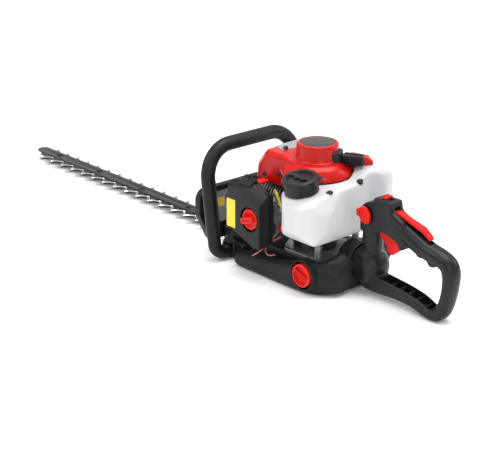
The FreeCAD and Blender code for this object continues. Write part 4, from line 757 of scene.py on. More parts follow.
def makeAirCover():
    a = airCover
    outline = [(-100, 77, 9), (-64, 56, 12), (-18.5, 56, 4), (-18.5, 141, 6), (-35, 157, 8), (-62, 158, 20),
               (-100, 155, 13)]

    # the outline moved in on all sides
    def drawnIn(by):
        return [(x + (by if x < -50 else -by), z + (by if z < 100 else -by), r) for x, z, r in outline]

    shell = slab(roundLoop(outline, 6, 8), "xz", a["front"], a["back"], 1.6, steps=4)
    # the upper rear corner is folded back along a slanting crease; the heel below the knob slopes too
    folds = [((-32, a["front"], 140.5), (0.50, -0.44, 0.75)),
             ((-70, a["front"], 70), (-0.3, -0.35, -0.85)),
             ((-100, a["front"] + 4, 120), (-1.0, -0.8, 0.1)),
             ((-70, a["front"] + 2, 149), (-0.1, -0.7, 1.0))]
    for point, normal in folds:
        shell = shave(shell, point, normal)
    shell = bevelled(shell, 1.3, 3, 12)
    room = slab(roundLoop(drawnIn(3), 6, 6), "xz", a["front"] + 3, a["back"] + 5, 0.8)
    for point, normal in folds:
        room = shave(room, Vector(point) - Vector(normal).normalized() * 3, normal)
    knobPlace = (a["knobX"], a["front"], a["knobZ"])
    room = carve(room, cuts=[rod(23.5, -9, 9, "y", knobPlace, 56)])
    deep = a["recess"]
    well = lathe([(0, -8), (deep, -8), (deep, 5.4), (deep - 1.6, 6.4), (0, 6.4)], "y", knobPlace, 56)
    hole = rod(3.6, -9, 30, "y", knobPlace, 24)
    groove = slab(roundLoop(outline, 6, 8), "xz", a["back"] - 5.2, a["back"] - 4.2, 0.2,
                  [roundLoop(drawnIn(1.2), 6, 8)])
    shell = carve(shell, cuts=[well, room, hole, groove])
    finishPiece("filter_cover", shell, "nylon", "air_cover_body", ["air_cover"])
    # the spring clip over the top: a ramp, a finger step and three grooves
    clip = slab(roundLoop([(-102, 0), (-103, 5), (-97, 9), (-91, 12.5), (-87, 12.5), (-86.2, 0)], 1.5),
                "yz", -73, -46, 0.9)
    clip.transform(Matrix.Translation((0, 0, 152.4)))
    step = slab(softBox(-92, -86.2, 163, 167.5, 1.2), "yz", -72, -62, 0.8)
    slots = [block(-60 + 4.4 * k, -58.2 + 4.4 * k, -101, -90, 161, 167) for k in range(3)]
    finishPiece("cover_clip", joined(carve(clip, cuts=slots), step), "nylon", "air_cover_body")
    label = slab(softBox(-97, -76.5, 78, 126, 1.2), "xz", a["front"] - 0.25, a["front"] + 0.3, 0.1)
    finishPiece("cover_label", label, "yellow", "air_cover_body")


def makeKnob():
    a = airCover
    r = a["knob"]

    # ten shallow grooves round the rim
    def grooved(angle, far, h):
        return far - (0.5 if far > 16 and math.cos(10 * angle) > 0.7 else 0)

    profile = [(0, 0), (r - 1.5, 0), (r, 1.0), (r, 4.6), (r - 1.3, 6.0), (r - 3.4, 6.0), (r - 5.5, 4.4),
               (0, 3.6)]
    disc = lathe(profile, "-y", (0, 0, 0), 56, grooved)
    bar = slab(softBox(-r + 2.5, r - 2.5, -5.2, 5.2, 3.4), "xz", -12.6, -2, 1.6)
    slot = block(-9, 9, -14, -10.4, -1.3, 1.3)
    screw = rod(3, -22, 0.5, "-y", (0, 0, 0), 20)
    mesh = joined(disc, carve(bar, cuts=[slot]), screw)
    turn = Matrix.Rotation(math.radians(-18), 4, "Y")
    mesh.transform(Matrix.Translation((a["knobX"], a["front"] + 6.0, a["knobZ"])) @ turn)
    finishPiece("filter_knob", mesh, "redNylon", "knob_body", ["air_cover_knob"])


makeAirCover()
makeKnob()
print("filter cover")


# red starter cover with its shroud, badge, rope guide and grip

starter = {"domeTop": 220.0, "domeR": 33.4, "neckZ": 193.0, "neckR": 44.0, "shoulderZ": 180.0,
           "shoulderR": 60.0, "skirt": 168.0, "wall": 2.5, "voxel": 1.15, "soften": 9, "ropeAngle": 27.0,
           "ropeZ": 197.0}


# The cover's block, every face moved in by an inset.
def coverBlock(inset):
    s = starter
    i = inset
    under = 3 if inset else 0
    low, lowBox = s["skirt"] - under, 147 - under
    shoulderR, shoulderZ = s["shoulderR"] - i, s["shoulderZ"] - i
    neckR, neckZ = s["neckR"] - i, s["neckZ"] - i
    domeR, domeTop = s["domeR"], s["domeTop"] - i
    dome = lathe([(0, low), (shoulderR, low), (shoulderR - 0.4, shoulderZ - 6), (shoulderR - 3, shoulderZ),
                  (neckR + 8.4, neckZ - 7), (neckR + 2, neckZ - 2.6), (domeR + 3.4 - i, neckZ + 0.6),
                  (domeR + 1.6 - i, neckZ + 5), (domeR + 0.4 - i, domeTop - 1.8),
                  (domeR - 1.4 - i, domeTop), (0, domeTop)], steps=96)
    side = [(-100.5 + i, lowBox), (8, lowBox), (8, 191 - i), (-44, 198 - i), (-76, 198 - i),
            (-84 + i, 194 - i), (-93 + i, 181), (-98.6 + i, 168)]
    shroud = slab(side, "xz", -47 + i, 47 - i, 0.01, steps=1)
    for k in (-1, 1):
        for point, normal in (((-60, k * 41, 198), (0, k, 1.0)), ((-88, k * 38, 182), (-0.8, k, 0.8)),
                              ((-96, k * 41, 160), (-1.0, k, 0.1))):
            shroud = shave(shroud, Vector(point) - Vector(normal).normalized() * i, normal)
    return carve(dome, adds=[shroud])


tank = {"voxel": 1.7, "soften": 26, "room": 62.5, "studs": [(80, -51, 165), (80, 15, 169)],
        "neck": (38.5, -70, 155.7), "neckLean": 11.0, "lift": 7.5}


# Move a mesh made round the z axis onto the tank's leaning neck; the starter cover gives it room too.
def tiltedFiller(mesh):
    lean = Matrix.Rotation(math.radians(tank["neckLean"]), 4, "X")
    mesh.transform(Matrix.Translation(tank["neck"]) @ lean @ Matrix.Translation((0, 0, tank["lift"])))
    return mesh


def makeStarterCover():
    s = starter
    capRoom = tiltedFiller(rod(30.8, -20, 60, steps=72))
    body = mould(carve(coverBlock(0), cuts=[capRoom]), s["voxel"], s["soften"])
    inner = coverBlock(s["wall"])
    wallIn = tiltedFiller(rod(33.2, -20, 60, steps=48))
    inner = carve(inner, cuts=[wallIn, rod(5.0, 188.5, 219, steps=24)])
    turn = Matrix.Rotation(math.radians(s["ropeAngle"]), 4, "Z")
    hole = rod(6.1, 20, 70, "x", (0, 0, s["ropeZ"]), 32)
    hole.transform(turn)
    seat = lathe([(0, 218.4), (28.4, 218.4), (28.9, 223), (0, 223)], steps=72)
    body = carve(body, cuts=[inner, hole, seat])
    finishPiece("starter_shell", body, "redAbs", "chassis", ["starter_cover"], sharp=50)
    disc = lathe([(0, 220.55), (18, 220.5), (25, 220.3), (27.4, 220.0), (28.1, 219.5), (28.1, 218.5),
                  (0, 218.5)], steps=72)
    finishPiece("badge_disc", disc, "badge", "chassis", ["cover_badge"])
    plate = slab(roundLoop([(-80, -19), (-55, -24), (-50, 2), (-74, 30), (-80, 30)], 2), "xy", 197.7,
                 198.35, 0.15)
    finishPiece("cover_plate", plate, "silver", "chassis")
    # small stiffening ribs and a rope lug moulded on the cover
    ribs = []
    for around in (168, 96):
        ribs.append(slab(roundLoop([(33, 193), (41, 192), (37, 200), (33, 214)], 1.2, 3), "xz", -1.3, 1.3,
                         0.5))
        ribs[-1].transform(Matrix.Rotation(math.radians(around), 4, "Z"))
    lug = slab(roundLoop([(34, 26), (50, 30), (73, 50.5), (71, 55), (58, 57), (28, 49)], 3, 4), "xy", 187.6,
               199.5, 1.2)
    lug = shave(lug, (72, 53, 192.5), (0.5, 0.35, 0.9))
    finishPiece("cover_ribs", joined(*ribs, lug), "redAbs", "chassis")


def makeRopeParts():
    s = starter
    turn = Matrix.Rotation(math.radians(s["ropeAngle"]), 4, "Z")
    z = s["ropeZ"]
    guide = lathe([(2.4, 31), (5.9, 31), (5.9, 33), (11, 33.6), (11.9, 35), (11.9, 38.5), (10.2, 40.6),
                   (8.2, 41.2), (6.8, 42), (4.4, 42), (2.6, 40)], "x", (0, 0, z), 40)
    yoke = slab(roundLoop([(26, -19), (35, -17), (40, -10), (40, 10), (35, 17), (26, 19), (24, 0)], 4),
                "xy", z - 8.5, z + 11.5, 2.4)
    clear = rod(5.8, 20, 60, "x", (0, 0, z), 32)
    dome = rod(s["domeR"] + 1.4, 0, 40, "z", (0, 0, z - 20), 96)
    dome.transform(turn.inverted())
    mesh = joined(guide, carve(yoke, cuts=[clear, dome]))
    mesh.transform(turn)
    finishPiece("rope_eye", mesh, "grip", "chassis", ["rope_guide"])
    bar = slab(roundLoop([(42.6, -9.6, 2.5), (54, -9.4, 2), (71, -7.8, 3), (77, -4.5, 3), (77, 4.5, 3),
                          (71, 7.8, 3), (54, 9.4, 2), (42.6, 9.6, 2.5)], 2), "xy", z - 8.2, z + 8.4, 2.0)
    # square pockets on both sides and on top, as a moulded grip has to save material
    pockets = []
    for k in range(5):
        x = 46.0 + 5.8 * k
        for side in (-1, 1):
            pockets.append(slab(softBox(x, x + 4.4, z - 5.4, z + 4.2, 0.5, 2), "xz", *span(side, 5.4, 10),
                                0.2))
        pockets.append(block(x, x + 4.4, -3.6, 3.6, z + 6.6, z + 10))
    tail = rod(1.85, 41, 62.1, "x", (0, 0, z), 20)
    mesh = carve(bar, cuts=[*pockets, tail])
    mesh.transform(turn)
    finishPiece("pull_grip", mesh, "grip", "grip_body", ["starter_grip"])


# Screws of the covers and of the gearcase, in their own seats.
def makeCoverScrews():
    for side, name in sides:
        head = turned(capScrew(4.0, 2.9), sideAxis[side])
        mesh = repeated(head, "screw", spots=[(x, side * 47.0, z) for x, z in ((-74, 158), (-41, 166))])
        finishPiece("cover_screws_" + name, mesh, "screw", "chassis")
    spots = [(-56, -17, 198.2), (41, 46, 178.5), (44.5, -37.6, 177.0)]
    mesh = repeated(capScrew(4.2, 4.2), "screw", spots=spots)
    finishPiece("cover_screw_top", mesh, "screw", "chassis")
    small = [(x, side * 46.8, 40) for x in (-166, -95, -20, 22) for side in (-1, 1)]
    finishPiece("case_screws", repeated(capScrew(3.0, 2.5), "steel", spots=small), "steel", "chassis",
                ["housing_screws"])


makeStarterCover()
makeRopeParts()
makeCoverScrews()
print("starter")


# blow-moulded tank, its cap and its two studs

def makeTank():
    plan = [(18, -98, 30), (42, -110, 24), (68, -110, 30), (92, -97, 30), (98, -66, 26), (84, -28, 30),
            (84, 32, 30), (95, 62, 24), (88, 88, 20), (62, 97, 20), (24, 97, 12), (18, 80, 10)]
    side = [(13, 83, 24), (84, 83, 30), (97, 104, 34), (97, 140, 20), (92, 178, 16), (74, 190, 14),
            (13, 190, 2)]
    across = [(-84, 83, 34), (-110, 106, 34), (-110, 134, 24), (-106, 151, 16), (-84, 162, 14),
              (-40, 168, 30), (12, 170, 24), (32, 184, 22), (52, 188, 18), (74, 181, 18), (93, 160, 18),
              (96, 112, 20), (88, 83, 16)]
    slope = [(66, 182), (84, 165), (97, 138), (125, 138), (125, 230), (66, 230)]
    body = slab(roundLoop(plan, 14, 8), "xy", 78, 192, 0.01, steps=1)
    wallSide = slab(roundLoop(side, 12, 6), "xz", -125, 125, 0.01, steps=1)
    wallAcross = slab(roundLoop(across, 14, 6), "yz", -6, 120, 0.01, steps=1)
    body = carve(carve(body, meets=[wallSide]), meets=[wallAcross])
    body = carve(body, cuts=[slab(slope, "xz", -130, 18, 0.01, steps=1)])
    room = rod(tank["room"], 70, 200, steps=96)
    boss = tiltedFiller(lathe([(0, -30), (32, -30), (33.5, -10), (31, -1.2), (30, 0), (0, 0)], steps=72))
    seat = tiltedFiller(lathe([(0, 0.3), (32, 0.3), (33.5, 3), (34, 60), (0, 60)], steps=72))
    dent = lathe([(0, -40), (17, -40), (20, 0), (17, 60), (0, 60)], "z", (111, 0, 130), 40)
    body = mould(joined(carve(body, cuts=[seat, dent]), carve(boss, cuts=[room])), tank["voxel"],
                 tank["soften"])
    body = carve(body, cuts=[room])
    neck = tiltedFiller(lathe([(0, -6), (20, -6), (20, 11.6), (19.4, 12.1), (0, 12.1)], steps=64))
    threads = [tiltedFiller(lathe([(19, h), (20.25, h + 0.7), (20.25, h + 1.1), (19, h + 1.8)], steps=64))
               for h in (3.6, 7.4)]
    bore = tiltedFiller(lathe([(0, -34), (15.8, -34), (16, 40), (0, 40)], steps=56))
    body = carve(body, adds=[neck], cuts=[bore])
    finishPiece("tank_shell", joined(body, *threads), "tank", "chassis", ["fuel_tank"], sharp=60)
    for k, (x, y, z) in enumerate(tank["studs"]):
        lean = Vector((0.75, -0.15, 0.65)).normalized()
        rubber = lathe([(0, -6), (5.4, -6), (5.6, 0.2), (5.0, 1.6), (3.6, 2.0), (0, 2.0)], lean, (x, y, z),
                       32)
        head = lathe([(0, 1.8), (3.2, 1.8), (3.3, 5.0), (2.7, 5.8), (1.3, 5.8), (1.2, 4.2), (0, 4.2)], lean,
                     (x, y, z), 24)
        finishPiece("tank_stud_%d" % (k + 1), joined(rubber, head), "screw", "chassis")


cap = {"radius": 29.0, "top": 25.0, "padDepth": 1.5, "fluteDepth": 0.25}


def makeCap():
    r, top = cap["radius"], cap["top"]

    # four broad smooth pads on the skirt with shallow hollows between, a plain rim above
    def facets(angle, far, h):
        if far < 24 or h > 18:
            return far
        beat = math.cos(4 * (angle + 0.62))
        hollow = cap["padDepth"] * max(0.0, min(1.0, (beat - 0.55) * 5))
        return far - hollow - cap["fluteDepth"] * (1 - abs(math.cos(12 * angle)))

    profile = [(20.4, 0.8), (r - 1.8, 0.6), (r - 0.7, 1.6), (r - 0.6, 6), (r - 0.5, 12), (r - 0.3, 16.5),
               (r, 18.0), (r, 21.5), (r - 0.9, 23.8), (r - 2.8, top), (r - 5.5, top), (r - 7.0, top - 0.7),
               (0, top - 0.9)]
    shell = lathe(profile, steps=144, wave=facets)
    # a wavy finger ridge stands in a shallow dish across the top
    dish = lathe([(0, top - 3.6), (r - 9, top - 3.6), (r - 7.4, top - 1.5), (r - 7, top + 4), (0, top + 4)],
                 steps=72)
    ridgeLine = [(-23, 3), (-14, 8.5), (-5, 3.4), (0, 7.4), (5, 3.4), (14, 8.5), (23, 3), (23, -3), (14, 0),
                 (5, -5.6), (0, -1.6), (-5, -5.6), (-14, 0), (-23, -3)]
    ridge = slab(roundLoop(ridgeLine, 4, 5), "xy", top - 5.5, top - 0.4, 1.0)
    room = rod(20.3, -3, 14.2, steps=64)
    body = joined(carve(shell, cuts=[dish, room]), ridge)
    gasket = lathe([(16, 12.3), (20, 12.3), (20.1, 13.2), (20, 14.1), (16, 14.1)], steps=56)
    finishPiece("filler_cap", tiltedFiller(body), "grip", "cap_body", ["fuel_cap"])
    finishPiece("cap_gasket", tiltedFiller(gasket), "rubber", "cap_body")


makeTank()
makeCap()
print("tank and cap")


# wishbone frame, its plugs and rubber mounts

frameArm = {"voxel": 1.25, "soften": 9, "bossX": 60.0, "bossZ": 33.0, "swivelZ": 47.0, "seatR": 22.02}


def makeArms():
    f = frameArm
    run = [(-103, 77, 12.5, 7.5, 7), (-100, 78, 13, 11.4, 10.6), (-92, 78, 13.7, 13.6, 12),
           (-60, 78, 15.2, 15, 12.2), (-20, 78, 17.4, 17.2, 12.4), (18, 78, 20.8, 20.6, 12.6),
           (42, 77, 23.4, 23.2, 13), (62, 73.5, 25.4, 25.1, 13.6), (78, 64, 27, 26.4, 15),
           (90, 50, 30, 28, 16), (98, 33, 36, 29.6, 16), (103, 15, 42, 33, 14), (104.4, -3, 46, 35, 12)]
    for side, name in sides:
        arm = sweep(smoothStations([(x, side * y, z, tall, wide) for x, y, z, tall, wide in run], 5), 36,
                    2.7)
        collar = lathe([(0, 76), (29.8, 76), (30.4, 90), (31.2, 95), (31.8, 98), (31.8, 103.4), (31, 105.4),
                        (0, 105.4)], "x", (0, 0, frameArm["swivelZ"]), 96)
        web = slab(roundLoop([(40, side * 68), (64, side * 48), (90, side * 30), (90, side * 60),
                              (66, side * 74)], 6), "xy", 8, 30, 3)
        chin = slab(roundLoop([(62, side * 84, 10), (84, side * 73, 14), (101, side * 46, 14),
                               (105, side * 22), (105, 0), (62, 0)], 6), "xy", 4.5, 24, 4)
        plate = nodeCopy("frame_" + name)
        plate = carve(plate, meets=[block(-110, 82, *span(side, 40, 78), 3, 48)])
        ring = rod(25, -20, 0.4, sideAxis[side], (f["bossX"], side * 90.2, f["bossZ"]), 64)
        arm = mould(joined(arm, collar, web, chin, plate, ring), f["voxel"], f["soften"])
        pit = lathe([(0, -12), (22.3, -12), (22.8, -0.6), (23.8, 3), (0, 3)], sideAxis[side],
                    (f["bossX"], side * 90.6, f["bossZ"]), 64)
        seat = rod(frameArm["seatR"], -60, 60, "x", (95, 0, frameArm["swivelZ"]), 64)
        flangeRoom = rod(28, 40, 85, "x", (0, 0, frameArm["swivelZ"]), 64)
        half = block(-200, 105.6, *span(side, 0.05, 120), 0, 120)
        arm = carve(carve(arm, cuts=[pit, seat, flangeRoom]), meets=[half])
        finishPiece("wishbone_" + name, arm, "nylon", "chassis", ["frame_" + name], sharp=50)


def makePlugs():
    f = frameArm
    for side, name in sides:
        axis = sideAxis[side]
        body = lathe([(0, 0), (17.5, 0), (19, 1.2), (19, 8.6), (18.2, 9.5), (16.4, 9.5), (15.6, 8.8),
                      (15.2, 5.4), (14.4, 4.8), (0, 4.8)], axis, (0, 0, 0), 56)
        bar = slab(softBox(-15.6, 15.6, -3.0, 3.0, 1.2), "xz", *span(side, 4, 8.9), 0.9)
        slot = block(-13, 13, *span(side, 7.4, 12), -0.9, 0.9)
        ribs = [slab(softBox(-0.8 + 6 * k, 0.8 + 6 * k, -13, -4, 0.5, 2), "xz", *span(side, 4, 5.8), 0.3)
                for k in (-1, 0, 1)]
        mesh = joined(body, carve(bar, cuts=[slot]), *ribs)
        mesh.transform(Matrix.Translation((f["bossX"], side * 83.2, f["bossZ"]))
                       @ Matrix.Rotation(0.35, 4, "Y"))
        finishPiece("slotted_plug_" + name, mesh, "redNylon", "chassis", ["mount_plugs"])


def makeMounts():
    parts = []
    for x, z in ((-60, 14), (60, 33)):
        for side in (-1, 1):
            axis = sideAxis[side]
            parts.append(lathe([(0, 0), (9.6, 0), (10, 0.8), (10, 3), (8.2, 5), (8.2, 10.6), (10, 12.6),
                                (10, 15.2), (9.6, 16), (0, 16)], axis, (x, side * 50, z), 36))
    finishPiece("rubber_buffers", joined(*parts), "rubber", "chassis", ["rubber_mounts"])


makeArms()
makePlugs()
makeMounts()
print("frame")


# rear handle: two shells, trigger, lockout, switch and swivel lock

rear = {"voxel": 1.15, "soften": 10, "half": 15.4, "seam": 0.12, "ballX": 121.0, "ballR": 31.0,
        "swivelZ": frameArm["swivelZ"], "roomHalf": 6.4, "lock": (124, 135),
        "pins": {"trigger": (150, 114), "lever": (176, 145)},
        "screws": [(114, 98), (128, 150), (186, 122), (262, 98), (286, 50), (240, 7.5)]}


def makeRearHandle():
    r = rear
    outline = [(109, 80, 4), (109, 142, 9), (117, 151, 8), (135, 158, 6), (137, 165, 3), (172, 165, 3),
               (175, 150, 6), (200, 138, 8), (200, 60, 2), (196, 40, 2), (260, 34, 6), (276, 34, 6),
               (276, 3, 8), (257, 0, 8), (251, 2, 8), (227, 8.5, 20), (200, 10.5, 20), (140, 8, 8),
               (112, 10.5, 5)]
    opening = [(100, 68, 0), (142, 68, 3), (142, 39, 3), (150, 36, 8), (186, 34, 20), (222, 28, 10),
               (248, 17, 10), (400, 17, 3), (400, 92, 3), (204, 99, 3), (202, 95.5, 2), (194, 95.5, 2),
               (192, 104, 3), (170, 112.5, 14), (152, 113.5, 8), (143, 107, 4), (100, 106, 0)]
    shell = slab(roundLoop(outline, 5, 6), "xz", -r["half"], r["half"], 5, steps=4)
    shell = outwards(carve(shell, cuts=[slab(roundLoop(opening, 5, 6), "xz", -40, 40, 0.1, steps=1)]))
    # round post, ball and grip, one skin with the flat-sided head and lower bar
    post = pipe(roundPath([(125.6, 0, 60), (125.6, 0, 120), (127, 0, 139)], 20), 16.4, 40)
    arc = [(r["ballR"] * math.sin(math.pi * k / 24), -r["ballR"] * math.cos(math.pi * k / 24))
           for k in range(1, 24)]
    globe = lathe([(0, -r["ballR"]), *arc, (0, r["ballR"])], "y", (r["ballX"], 0, r["swivelZ"]), 56)
    face = lathe([(0, 106.1), (28.4, 106.1), (29.6, 107.3), (29.4, 122), (0, 122)], "x",
                 (0, 0, r["swivelZ"]), 72)
    globe = joined(shave(globe, (106.1, 0, 0), (-1, 0, 0)), face)
    gripPath = [(140, 0, 141, 13, 13), (156, 0, 139, 15.5, 14.6), (174, 0, 132, 15.6, 15.6),
                (194, 0, 123, 15.4, 16.2), (216, 0, 113, 15.4, 16.4), (240, 0, 104.4, 14.4, 16.2),
                (263, 0, 100, 13.4, 16), (279, 0, 93.4, 13, 15.8), (285.2, 0, 80, 12.6, 15.6),
                (285, 0, 60, 11.2, 15.4), (281.8, 0, 41, 10.6, 15.4), (277.6, 0, 27, 10.8, 15.4),
                (272, 0, 16.4, 10.8, 15.4), (258, 0, 11.4, 10, 15)]
    grip = sweep(smoothStations(gripPath), 40, 2.15)
    barPath = [(111, 0, 26, 15, 15.2), (125, 0, 24.4, 15.8, 15.4), (142, 0, 23.2, 15.2, 15.4),
               (165, 0, 22.6, 13.4, 15.4), (186, 0, 22.2, 11.8, 15.4), (205, 0, 20.8, 10.7, 15.4),
               (222, 0, 18.4, 9.7, 15.4), (236, 0, 14.6, 8.9, 15.4), (248, 0, 10.4, 8, 15.4),
               (262, 0, 9.2, 8, 15.4), (273, 0, 12, 8, 15.2)]
    bar = sweep(smoothStations(barPath), 40, 5)
    rooms = []
    # rooms for the trigger, the lockout lever and the switch stay open between the shells
    rooms.append(slab(((143, 76), (186, 76), (192, 100), (196, 124), (140.5, 124), (140.5, 103), (143, 98)),
                      "xz", -r["roomHalf"], r["roomHalf"], 0.01, steps=1))
    rooms.append(slab(((166, 140), (190, 130), (210, 123), (230, 116), (243, 110.5), (247.6, 110.5),
                       (247.6, 140), (230, 155), (180, 160), (166, 153)), "xz", -r["roomHalf"],
                       r["roomHalf"], 0.01, steps=1))
    rooms.append(block(145, 166, -3.6, 3.6, 157, 170))
    bumps = [lathe([(0, -14), (7, -12.5), (9.4, -7), (9.4, 7), (7, 12.5), (0, 14)], "y", (x, 0, z), 36)
             for x, z in ((208, 110), (231, 101), (254, 93))]
    body = mould(joined(shell, post, globe, grip, bar, *bumps), r["voxel"], r["soften"])
    spindleSeat = rod(frameArm["seatR"], 100, 118, "x", (0, 0, r["swivelZ"]), 64)
    swayRing = lathe([(19.3, -40), (20.3, -40), (20.3, 40), (19.3, 40)], "y",
                     (r["ballX"] + 3, 0, r["swivelZ"]), 72)
    keep = rod(40, -22.4, 22.4, "y", (r["ballX"] + 3, 0, r["swivelZ"]), 40)
    swayRing = carve(swayRing, cuts=[keep])
    # the lower bar is an open channel with cross ribs
    channel = slab(roundLoop([(155, -11.6), (222, -11.2), (262, -10.4), (262, 10.4), (222, 11.2),
                              (155, 11.6)], 3), "xy", -20, 20, 0.1, steps=1)
    bed = slab(((150, 60), (150, 19), (222, 16), (250, 7.5), (262, 7), (262, 60)), "xz", -40, 40, 0.01,
               steps=1)
    channel.transform(Matrix.Translation((0, 0, 36)) @ Matrix.Diagonal((1, 1, 1.6, 1)))
    channel = carve(channel, meets=[bed])
    crossRibs = [block(x, x + 1.8, -12.5, 12.5, z - 6, z + 5.5)
                 for x, z in ((172, 24), (190, 23), (208, 21.5), (226, 18), (243, 12))]
    channel = carve(channel, cuts=crossRibs)
    lockSeat = slab(roundLoop([(107, 124), (124, 118.5), (138, 121), (138, 146), (124, 151.5), (107, 149)],
                              6, 6), "xz", -30, -14.2, 0.3)
    lockHole = rod(4.2, -20, 20, "y", (r["lock"][0], -20, r["lock"][1]), 24)
    screwSeats = [rod(4.3, -6, 10, "y", (x, 15.0, z), 24) for x, z in rear["screws"]]
    pins = [rod(2.7, -12, 12, "y", (x, 0, z), 20) for x, z in rear["pins"].values()]
    body = carve(body, cuts=[*rooms, spindleSeat, channel, lockSeat, lockHole, *pins])
    body = carve(body, cuts=[swayRing, *screwSeats])
    twin = body.copy()
    finishPiece("handle_shell_left", shave(body, (0, -r["seam"], 0), (0, 1, 0)), "grip", "rear_handle_body",
                ["handle_left"], sharp=50)
    finishPiece("handle_shell_right", shave(twin, (0, r["seam"], 0), (0, -1, 0)), "grip",
                "rear_handle_body", ["handle_right"], sharp=50)
    screw = turned(capScrew(3.2, 2.2, 0.5), "y")
    spots = [(x, 11.0, z) for x, z in rear["screws"]]
    heads = repeated(screw, "steel", spots=spots)
    rods = [rod(2.5, -11.5, 11.5, "y", (x, 0, z), 20) for x, z in rear["pins"].values()]
    finishPiece("handle_screws", joined(heads, *rods), "steel", "rear_handle_body", ["handle_fasteners"])


def makeControls():
    triggerPin, leverPin = ((x, 0, z) for x, z in rear["pins"].values())
    lockX, lockZ = rear["lock"]
    trigger = slab(roundLoop([(142, 109, 3), (146, 118, 4), (158, 119, 5), (176, 108, 8), (183, 98, 6),
                              (184, 88, 3), (170, 76.8, 2.5), (163, 80, 5), (157, 93, 14), (146, 101, 6)],
                              5, 6), "xz", -5.5, 5.5, 1.8, steps=4)
    eye = rod(2.56, -9, 9, "y", triggerPin, 20)
    finishPiece("gas_trigger", carve(trigger, cuts=[eye]), "redNylon", "trigger_body", ["throttle_trigger"])
    lever = slab(roundLoop([(169, 150, 1.5), (180, 150.6, 4), (202, 145, 12), (230, 138, 10), (243, 128, 5),
                            (246.4, 120, 1.5), (229, 131, 8), (209, 137, 8), (190, 142, 6), (182, 141, 3),
                            (170, 142, 2)], 5, 6), "xz", -5.5, 5.5, 1.5, steps=4)
    eye = rod(2.56, -9, 9, "y", leverPin, 20)
    finishPiece("lockout_lever", carve(lever, cuts=[eye]), "redNylon", "lockout_body", ["throttle_lockout"])
    pad = slab(softBox(147, 158, -7.8, 7.8, 2), "xy", 165.3, 168.4, 0.9)
    ridges = [slab(softBox(148.2 + 2.9 * k, 149.7 + 2.9 * k, -6.4, 6.4, 0.6, 2), "xy", 167.8,
                   169.2 + 0.4 * (k == 0) + 0.9 * (k == 3), 0.4) for k in range(4)]
    stem = block(149, 156, -3, 3, 159.6, 166)
    finishPiece("switch_cap", joined(pad, stem, *ridges), "redNylon", "switch_body", ["stop_switch"])
    stadium = slab(roundLoop([(113, 130), (122, 121), (135, 121.5), (136, 138), (126, 147.5), (113, 147)],
                             8, 8), "xz", -21.9, -15.5, 2.0, steps=4)
    nub = slab(roundLoop([(107.8, 131), (119, 128), (119, 142), (107.8, 142.5)], 3.4, 5), "xz", -21.6,
               -15.6, 1.8)
    shaft = rod(4, -17, -9.5, "y", (lockX, 0, lockZ), 24)
    finishPiece("lock_button", joined(stadium, nub, shaft), "redNylon", "swivel_lock_body", ["swivel_lock"])


def makeSpindle():
    mesh = lathe([(0, 78), (25.6, 78), (27, 79.4), (27, 83.2), (25.8, 84.6), (22, 84.6), (21.9, 86),
                  (21.9, 117), (20.8, 118), (0, 118)], "x", (0, 0, frameArm["swivelZ"]), 56)
    finishPiece("swivel_spindle", mesh, "steel", bodyOf["handle_spindle"], ["handle_spindle"])


makeRearHandle()
makeControls()
makeSpindle()
print("rear handle")


# what shows between the covers

def makeHose():
    route = roundPath([(-30, -60, 131.5), (-30, -66, 147), (-12, -77, 146.5), (1, -80, 131),
                       (18, -78, 128)], 9, 8)
    finishPiece("fuel_line", pipe(route, 2.6, 18), "fuelLine", "chassis", ["fuel_hose"])
    band = [(2.5, -1.4), (3.3, -1.4), (3.5, 0), (3.3, 1.4), (2.5, 1.4)]
    clips = [lathe(band, axis, place, 28)
             for axis, place in (("z", (-30, -60, 135)), ("x", (10, -79, 129.3)))]
    finishPiece("hose_clips", joined(*clips), "steel", "chassis")


def makeWires():
    routes = {"ignition_wire": [(-30, -50, 62), (-42, -70, 50), (-47, -80, 40), (-62, -85, 27.5),
                                (-66, -80, 24)],
              "earth_wire": [(-38, -60, 58), (-43, -74, 43), (-30, -80, 37), (-18, -74, 40)],
              "choke_wire": [(-30, -70, 58), (-24, -75, 68), (-21, -66, 76), (-24, -50, 80)]}
    for name, route in routes.items():
        finishPiece(name, pipe(roundPath(route, 9, 6), 1.15, 12), "wire", "chassis")


def makePrimer():
    dome = lathe([(0, -9), (5.6, -9), (5.9, -7), (6.7, -2.2), (6.7, 0.2), (6.2, 1.6), (5.4, 4.0),
                  (3.2, 5.9), (0, 6.6)], "-y", (-13.2, -63.0, 85), 32)
    finishPiece("primer_dome", dome, "redNylon", "primer_body", ["primer_bulb"])


def makeCarburettor():
    body = bevelled(nodeCopy("carburettor"), 0.7, 2)
    bits = []
    for x in (-50, -28):
        for z in (97, 119):
            bits.append(turned(capScrew(2.6, 2.2), "-y"))
            bits[-1].transform(Matrix.Translation((x, -71.9, z)))
    bits.append(lathe([(0, 0), (4.2, 0), (4.2, 4), (3, 5), (3, 10), (0, 10)], "x", (-22.2, -58, 112), 24))
    bits.append(lathe([(0, 0), (8, 0), (8, 2), (6.8, 2.6), (0, 2.8)], "x", (-22.2, -56, 99), 32))
    finishPiece("carburettor_body", joined(body, *bits), "cast", "chassis", ["carburettor"])


def makeFins():
    fin = lathe([(21, -1.0), (35.2, -0.8), (35.5, 0), (35.2, 0.8), (21, 1.0)], "x", (0, 0, 108), 72)
    fins = repeated(fin, "cast", count=10, step=(6.0, 0, 0))
    fins.transform(Matrix.Translation((-99, 0, 0)))
    barrel = bevelled(nodeCopy("cylinder"), 0.25, 1)
    finishPiece("cylinder_cast", joined(barrel, fins), "cast", "chassis", ["cylinder"])


